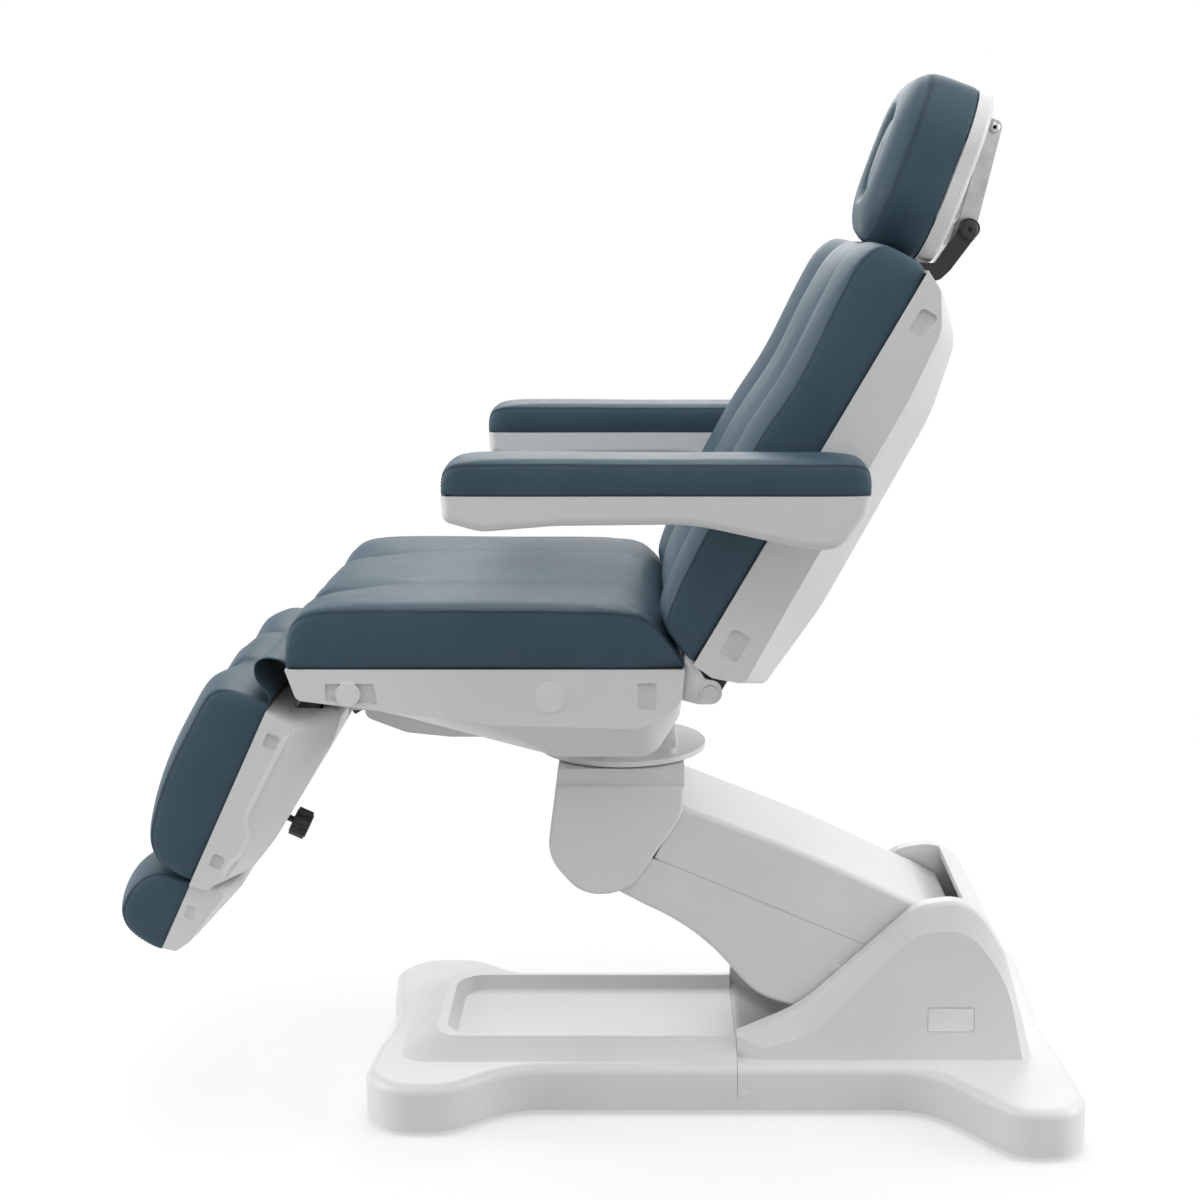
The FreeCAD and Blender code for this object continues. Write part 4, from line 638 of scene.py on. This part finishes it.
def rounded_reach(half_x, half_y, radius, angle):
    """Distance from the middle to the edge of a rounded rectangle at an angle, found by halving."""
    c, s = abs(cos(angle)), abs(sin(angle))
    low, high = 0.0, half_x + half_y
    for _ in range(HALVINGS):
        reach = (low + high) / 2
        dx, dy = reach * c - (half_x - radius), reach * s - (half_y - radius)
        gap = hypot(max(dx, 0), max(dy, 0)) + min(max(dx, dy), 0) - radius
        low, high = (reach, high) if gap < 0 else (low, reach)
    return low


def head_edge(drawn, angle):
    """Distance from the middle to the edge of the headrest, drawn in all round."""
    half_x, half_y, radius = HEAD_OUTLINE
    return rounded_reach(half_x - drawn, half_y - drawn, max(radius - drawn, HEAD_LEAST_CORNER), angle)


def round_pad(name, node, body, levels, spans, seams, swell):
    """A closed pad round the face hole's axis. levels(angle) gives (reach, height) from the hidden inside
    round to it again, and seams are the levels that are sewn."""
    marks = [sum(spans[:k]) for k in range(len(spans) + 1)]
    profile = []
    for i in range(PAD_COLUMNS):
        profile.append(flow([Vector(p) for p in levels(tau * i / PAD_COLUMNS)], spans))

    def place(i, j):
        """A point of the cover, rucked a little along its seams."""
        angle = tau * (i % PAD_COLUMNS) / PAD_COLUMNS
        reach, height = profile[i % PAD_COLUMNS][j]
        pull = max((bell(j - marks[k], SEAM_RUCK_ROWS) for k in seams), default=0.0)
        height += pull * SEAM_RUCK * noise.noise((4 * cos(angle), 4 * sin(angle), 0.4 * j))
        return HEAD @ (Vector((HEAD_CENTRE + reach * cos(angle), reach * sin(angle), height)) * MM)

    def crease(i, j):
        """How far a point is drawn into a seam, from 0 to 1."""
        return min(1.0, sum(bell(j - marks[k], PAD_TUCK_ROWS) for k in seams))

    obj = piece(name, skin(PAD_COLUMNS, marks[-1], place, crease), VINYL)
    inverse = HEAD.inverted()
    tuck = obj.data.attributes["tuck"].data
    hole_x, hole_y = HOLE_OUTLINE[0] + HOLE_RIM, HOLE_OUTLINE[1] + HOLE_RIM
    held = []
    for v in obj.data.vertices:
        local = inverse @ v.co / MM
        inside = hypot((local.x - HEAD_CENTRE) / hole_x, local.y / hole_y) < 1
        fast = local.z < HEAD_BASE + PAD_HELD_UNDER or (inside and seams)
        held.append(1.0 if fast else min(1.0, tuck[v.index].value * TUCK_GRIP))
    puff(obj, held, [swell * MM] * len(held))
    round_off(obj)
    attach(obj, body)
    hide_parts(node)
    if seams:
        lines = [[place(i, marks[k] + 1) for i in range(PAD_COLUMNS + 1)] for k in seams]
        stitches(name + "_stitching", lines, obj, body)


def pillow_levels(angle):
    """The headrest's section: underside, boxed side, seam, crown and the wall of the face hole."""
    hole = rounded_reach(*HOLE_OUTLINE, angle)
    crest = head_edge(38, angle)
    return [(hole, HEAD_BASE), (head_edge(7, angle), HEAD_BASE), (head_edge(0.8, angle), 42.4),
            (head_edge(-0.5, angle), 66), (head_edge(0.8, angle), 106), (head_edge(4.2, angle), 113),
            (head_edge(6.0, angle), 116.5), (head_edge(16, angle), 129), (crest, 138.5),
            (hole + (crest - hole) * 0.55, 142), (hole + 9, 140), (hole + 1.5, 134), (hole + 0.4, 122),
            (hole, 80), (hole, HEAD_BASE)]


def plug_levels(angle):
    """The face plug's section, from the middle of its underside to the middle of its top."""
    hole = rounded_reach(*HOLE_OUTLINE, angle)
    return [(0, 97), (hole * 0.85, 97), (hole - 3, 98.5), (hole - 1.4, 106), (hole - 1.4, 124),
            (hole - 4, 132), (hole * 0.72, 137), (hole * 0.3, 139), (0, 139.4)]


round_pad("head_upholstery", "headrest_cushion", "headrest", pillow_levels,
          (3, 2, 4, 4, 1, 1, 4, 4, 3, 3, 2, 2, 3, 2), seams=(5,), swell=4)
round_pad("face_plug_upholstery", "face_plug", "face_plug", plug_levels,
          (4, 3, 2, 3, 3, 3, 3, 3), seams=(), swell=2)


# Vinyl skirt from under the seat's front edge to the top of the leg cushion

skirt_points = ((-444, 737), (-462, 745), (-480, 746), (-494, 737), (-495, 722), (-487, 707), (-478, 695),
                (-475.5, 686), (-477.5, 678.5))
skirt_line = flow([Vector(p) for p in skirt_points], [4] * (len(skirt_points) - 1))
skirt_half, skirt_wall = 292, 1.3
skirt_columns, skirt_rows = 72, len(skirt_line) - 1
skirt_slack, skirt_ruck, skirt_rise = 3.0, 0.7, 0.4


def skirt_place(i, j):
    """A point of the skirt, slack between its two sewn edges."""
    y = -skirt_half + 2 * skirt_half * i / skirt_columns
    x, z = skirt_line[j]
    long_waves = noise.noise((y * 0.012, 5.0, j * 0.12))
    short_waves = noise.noise((y * 0.05, 9.0, j * 0.3))
    bow = long_waves * skirt_slack + short_waves * skirt_ruck
    loose = sin(pi * j / skirt_rows)
    return Vector((x - bow * loose, y, z + skirt_rise * bow * loose)) * MM


skirt_mesh = laid_grid(skirt_columns, skirt_rows, skirt_place)
bmesh.ops.recalc_face_normals(skirt_mesh, faces=skirt_mesh.faces)
skirt = piece("hinge_skirt", skirt_mesh, VINYL)
wall = skirt.modifiers.new("thickness", "SOLIDIFY")
wall.thickness, wall.offset = skirt_wall * MM, 0.0
settle(skirt)
skirt_run = sum((b - a).length for a, b in zip(skirt_line, skirt_line[1:])) * MM
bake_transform(skirt)


# Small fittings


def turned(profile, steps):
    """A turned piece from (radius, height) points, about Z."""
    bm = bmesh.new()
    points = [bm.verts.new((r * MM, 0, h * MM)) for r, h in profile]
    edges = [bm.edges.new(pair) for pair in zip(points, points[1:])]
    bmesh.ops.spin(bm, geom=points + edges, axis=(0, 0, 1), cent=(0, 0, 0), angle=tau, steps=steps,
                   use_merge=True, use_duplicate=False)
    bmesh.ops.remove_doubles(bm, verts=bm.verts, dist=1e-7)
    bmesh.ops.recalc_face_normals(bm, faces=bm.faces)
    return bm


def sharpen(obj, angle=35):
    """Hard edges where faces meet at more than an angle."""
    mesh = obj.data
    bm = bmesh.new()
    bm.from_mesh(mesh)
    for edge in bm.edges:
        edge.smooth = not (len(edge.link_faces) == 2 and edge.calc_face_angle(0) > radians(angle))
    bm.to_mesh(mesh)
    bm.free()
    return obj


def facing_side(x, y, z, side):
    """Frame whose Z points out of the side of the table."""
    return Matrix.Translation((x * MM, y * MM, z * MM)) @ Matrix.Rotation(side * -pi / 2, 4, "X")


def fitting(name, bm, place, body, material):
    """A hard piece, put in its place on a body."""
    bmesh.ops.transform(bm, matrix=place, verts=bm.verts)
    obj = sharpen(piece(name, bm, material))
    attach(obj, body)


button_head = [(0, -1.5), (2.6, -1.5), (2.6, 2.6), (3.0, 3.0), (4.6, 2.8), (6.6, 2.0), (8.2, 0.8),
               (8.6, 0.0), (0, 0.0)]
link_outside = 70
for label, side in SIDES:
    link_bolt = facing_side(HEAD_PIVOT[0], side * link_outside, HEAD_PIVOT[1], side)
    fitting(f"head_link_bolt_{label}", turned(button_head, 36), link_bolt, "headrest", STEEL)

# Steel cheeks outside the hinge brackets, which close the notch between the seat's rear corners and the back
cheek_line = ((115.3, 676), (115.3, 736.5), (111.5, 737.5), (111.5, 742), (114, 745), (121, 744), (145, 707),
              (138.5, 697), (136.5, 686), (137.5, 676))
cheek_inside, cheek_wall, cheek_edge = 243.8, 3.2, 0.7
for label, side in SIDES:
    cheek = bmesh.new()
    rim = [cheek.verts.new((x * MM, side * cheek_inside * MM, z * MM)) for x, z in cheek_line]
    inner_face = bmesh.ops.contextual_create(cheek, geom=rim)["faces"]
    raised = bmesh.ops.extrude_face_region(cheek, geom=inner_face)["geom"]
    outer = [v for v in raised if isinstance(v, bmesh.types.BMVert)]
    bmesh.ops.translate(cheek, verts=outer, vec=(0, side * cheek_wall * MM, 0))
    outer_edges = [e for e in cheek.edges if e.verts[0] in outer and e.verts[1] in outer]
    bmesh.ops.bevel(cheek, geom=outer_edges, offset=cheek_edge * MM, segments=2, profile=0.5,
                    affect="EDGES", material=-1)
    bmesh.ops.recalc_face_normals(cheek, faces=cheek.faces)
    fitting(f"hinge_cheek_{label}", cheek, SEAT, "seat", STEEL)


def moulded_step(name, line, home, body, reach, side):
    """A step moulded in a shell's side face: a wedge that rises to a line of (x, z) points and drops behind
    it."""
    path = flow([Vector(p) for p in line], [6] * (len(line) - 1))
    sunk, fading = 0.2, 3
    wedge = [(-8, -sunk), (-1.8, 1.3), (-0.5, 1.6), (0.7, 1.3), (1.8, -sunk)]
    last = len(path) - 1

    def place(i, j):
        """A point of the wedge, which fades out at both ends of the line."""
        along = (path[min(i + 1, last)] - path[max(i - 1, 0)]).normalized()
        fade = min(1.0, i / fading, (last - i) / fading)
        across, high = wedge[j % len(wedge)]
        x, z = path[i] + Vector((along.y, -along.x)) * across * fade
        return home @ (Vector((x, side * (reach - sunk + (high + sunk) * fade), z)) * MM)

    obj = piece(name, skin(last, len(wedge), place), SHELL)
    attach(sharpen(obj, 40), body)


leg_step = ((50, 3), (80, 5), (190, 10), (203, 7), (214, -2), (228, -5), (246, -5), (258, -2), (272, 4),
            (300, 6))
leg_shell_half = 305
for label, side in SIDES:
    moulded_step(f"leg_shell_step_{label}", leg_step, LEG, "leg_rest", leg_shell_half, side)

hub_cap = [(0, 5), (3.4, 5), (3.4, 8.4), (6, 8.4), (11, 7.6), (13.4, 5.6), (14.2, 3), (14.2, 0.2),
           (9.8, 0.2), (9.8, 3), (0, 3)]
lever_hub = facing_side(530.3, -90, 1341.4, -1)
fitting("lever_hub_cap", turned(hub_cap, 40), lever_hub, "head_lever", BLACK)

plate_long, plate_wall, plate_high = 70.4, 1.4, 38.4
plate_corner, plate_rim, plate_sunk = 3.6, 1.6, 0.5
plate_place = Matrix.Translation((0.529, -0.1643, 0.148))
plate_mesh = bmesh.new()
plate_size = Matrix.Diagonal((plate_long * MM, plate_wall * MM, plate_high * MM, 1))
bmesh.ops.create_cube(plate_mesh, size=1.0, matrix=plate_size)
corners = [e for e in plate_mesh.edges if abs(e.verts[0].co.y - e.verts[1].co.y) > 1e-4]
bmesh.ops.bevel(plate_mesh, geom=corners, offset=plate_corner * MM, segments=6, profile=0.5,
                affect="EDGES", material=-1)
face = [f for f in plate_mesh.faces if f.normal.y < -0.9]
bmesh.ops.inset_region(plate_mesh, faces=face, thickness=plate_rim * MM, depth=0.0)
bmesh.ops.translate(plate_mesh, verts=face[0].verts, vec=(0, plate_sunk * MM, 0))
fitting("bare_name_plate", plate_mesh, plate_place, "base", PLATE)


# Studio


def seen_directly(wire):
    """1 for what the camera, a gloss or glass shows, 0 for light that falls on the table."""
    names = ("Is Camera Ray", "Is Glossy Ray", "Is Transmission Ray")
    camera_ray, gloss_ray, glass_ray = [wire.node("LightPath", None, None, name) for name in names]
    return wire.math("MINIMUM", camera_ray + gloss_ray + glass_ray, 1.0)


WHITE = rgb(1, 1, 1)
floor_fades_from, floor_gone_by = 1.1, 2.6

floor_finish = bpy.data.materials.new("studio_floor")
floor_finish.use_nodes = True
floor_finish.node_tree.nodes.clear()
wire = Wire(floor_finish.node_tree)
seen = seen_directly(wire)
spot = wire.node("TexCoord", None, None, "Object")
pale = wire.mix(wire.noise(spot, 3.0, 2.0), rgb(0.93, 0.93, 0.93), rgb(0.95, 0.95, 0.95))
tone = wire.mix(seen, rgb(0.56, 0.56, 0.56), pale)
shaded = wire.node("BsdfPrincipled", None, {"Base Color": tone, "Roughness": 0.85, "Specular IOR Level": 0.1})
bright = wire.node("Emission", None, {"Color": WHITE, "Strength": 1.0})
lit = wire.node("MixShader", None, {0: seen * 0.55, 1: shaded, 2: bright})
clear = wire.node("BsdfTransparent", None, {"Color": WHITE})
reach = wire.node("VectorMath", {"operation": "LENGTH"}, {0: spot}, "Value")
far = reach.step(floor_fades_from, floor_gone_by)
wire.sink("OutputMaterial", wire.node("MixShader", None, {0: far, 1: lit, 2: clear}))
floor_mesh = bmesh.new()
bmesh.ops.create_grid(floor_mesh, x_segments=1, y_segments=1, size=14.0)
piece("studio_floor", floor_mesh, floor_finish)

world = bpy.data.worlds.new("studio_sky")
bpy.context.scene.world = world
world.use_nodes = True
world.node_tree.nodes.clear()
wire = Wire(world.node_tree)
height = wire.node("SeparateXYZ", None, {0: wire.node("TexCoord", None, None, "Generated")}, "Z")
sky = wire.mix(height.step(0.0, 0.85), rgb(0.18, 0.18, 0.18), rgb(0.56, 0.56, 0.56))
sky = wire.mix(seen_directly(wire), sky, WHITE)
wire.sink("OutputWorld", wire.node("Background", None, {"Color": sky, "Strength": 1.0}))


def lamp(name, place, aim, size, watts):
    """A round soft lamp, aimed at a point."""
    light = bpy.data.lights.new(name, "AREA")
    light.shape, light.size, light.energy = "DISK", size, watts
    obj = bpy.data.objects.new(name, light)
    bpy.context.scene.collection.objects.link(obj)
    obj.location = place
    obj.rotation_euler = (Vector(aim) - Vector(place)).to_track_quat("-Z", "Y").to_euler()


lamp("overhead_bank", (0.0, -0.3, 4.2), (0.0, 0.0, 0.8), 3.4, 34)
lamp("head_end_bank", (3.6, -0.5, 1.75), (0.0, 0.0, 0.8), 2.6, 68)
lamp("foot_end_bank", (-3.6, -0.5, 1.7), (0.0, 0.0, 0.4), 2.6, 80)
lamp("far_side_bank", (0.2, 3.3, 2.9), (0.0, 0.0, 0.2), 3.0, 62)
lamp("camera_side_bank", (-1.8, -3.8, 2.4), (0.0, 0.0, 0.8), 2.4, 10)
lamp("camera_high_bank", (0.9, -2.8, 3.5), (0.2, 0.0, 1.0), 2.2, 16)

look_down = 11.09
camera = bpy.data.cameras.new("camera")
camera.sensor_width, camera.lens, camera.shift_x = 36.0, 58.32, -0.0417
camera.clip_end = 60
view = bpy.data.objects.new("camera", camera)
bpy.context.scene.collection.objects.link(view)
view.location = (0.066, -2.975, 1.357)
view.rotation_euler = (radians(90 - look_down), 0, 0)
bpy.context.scene.camera = view
bpy.context.scene.view_settings.view_transform = "Standard"
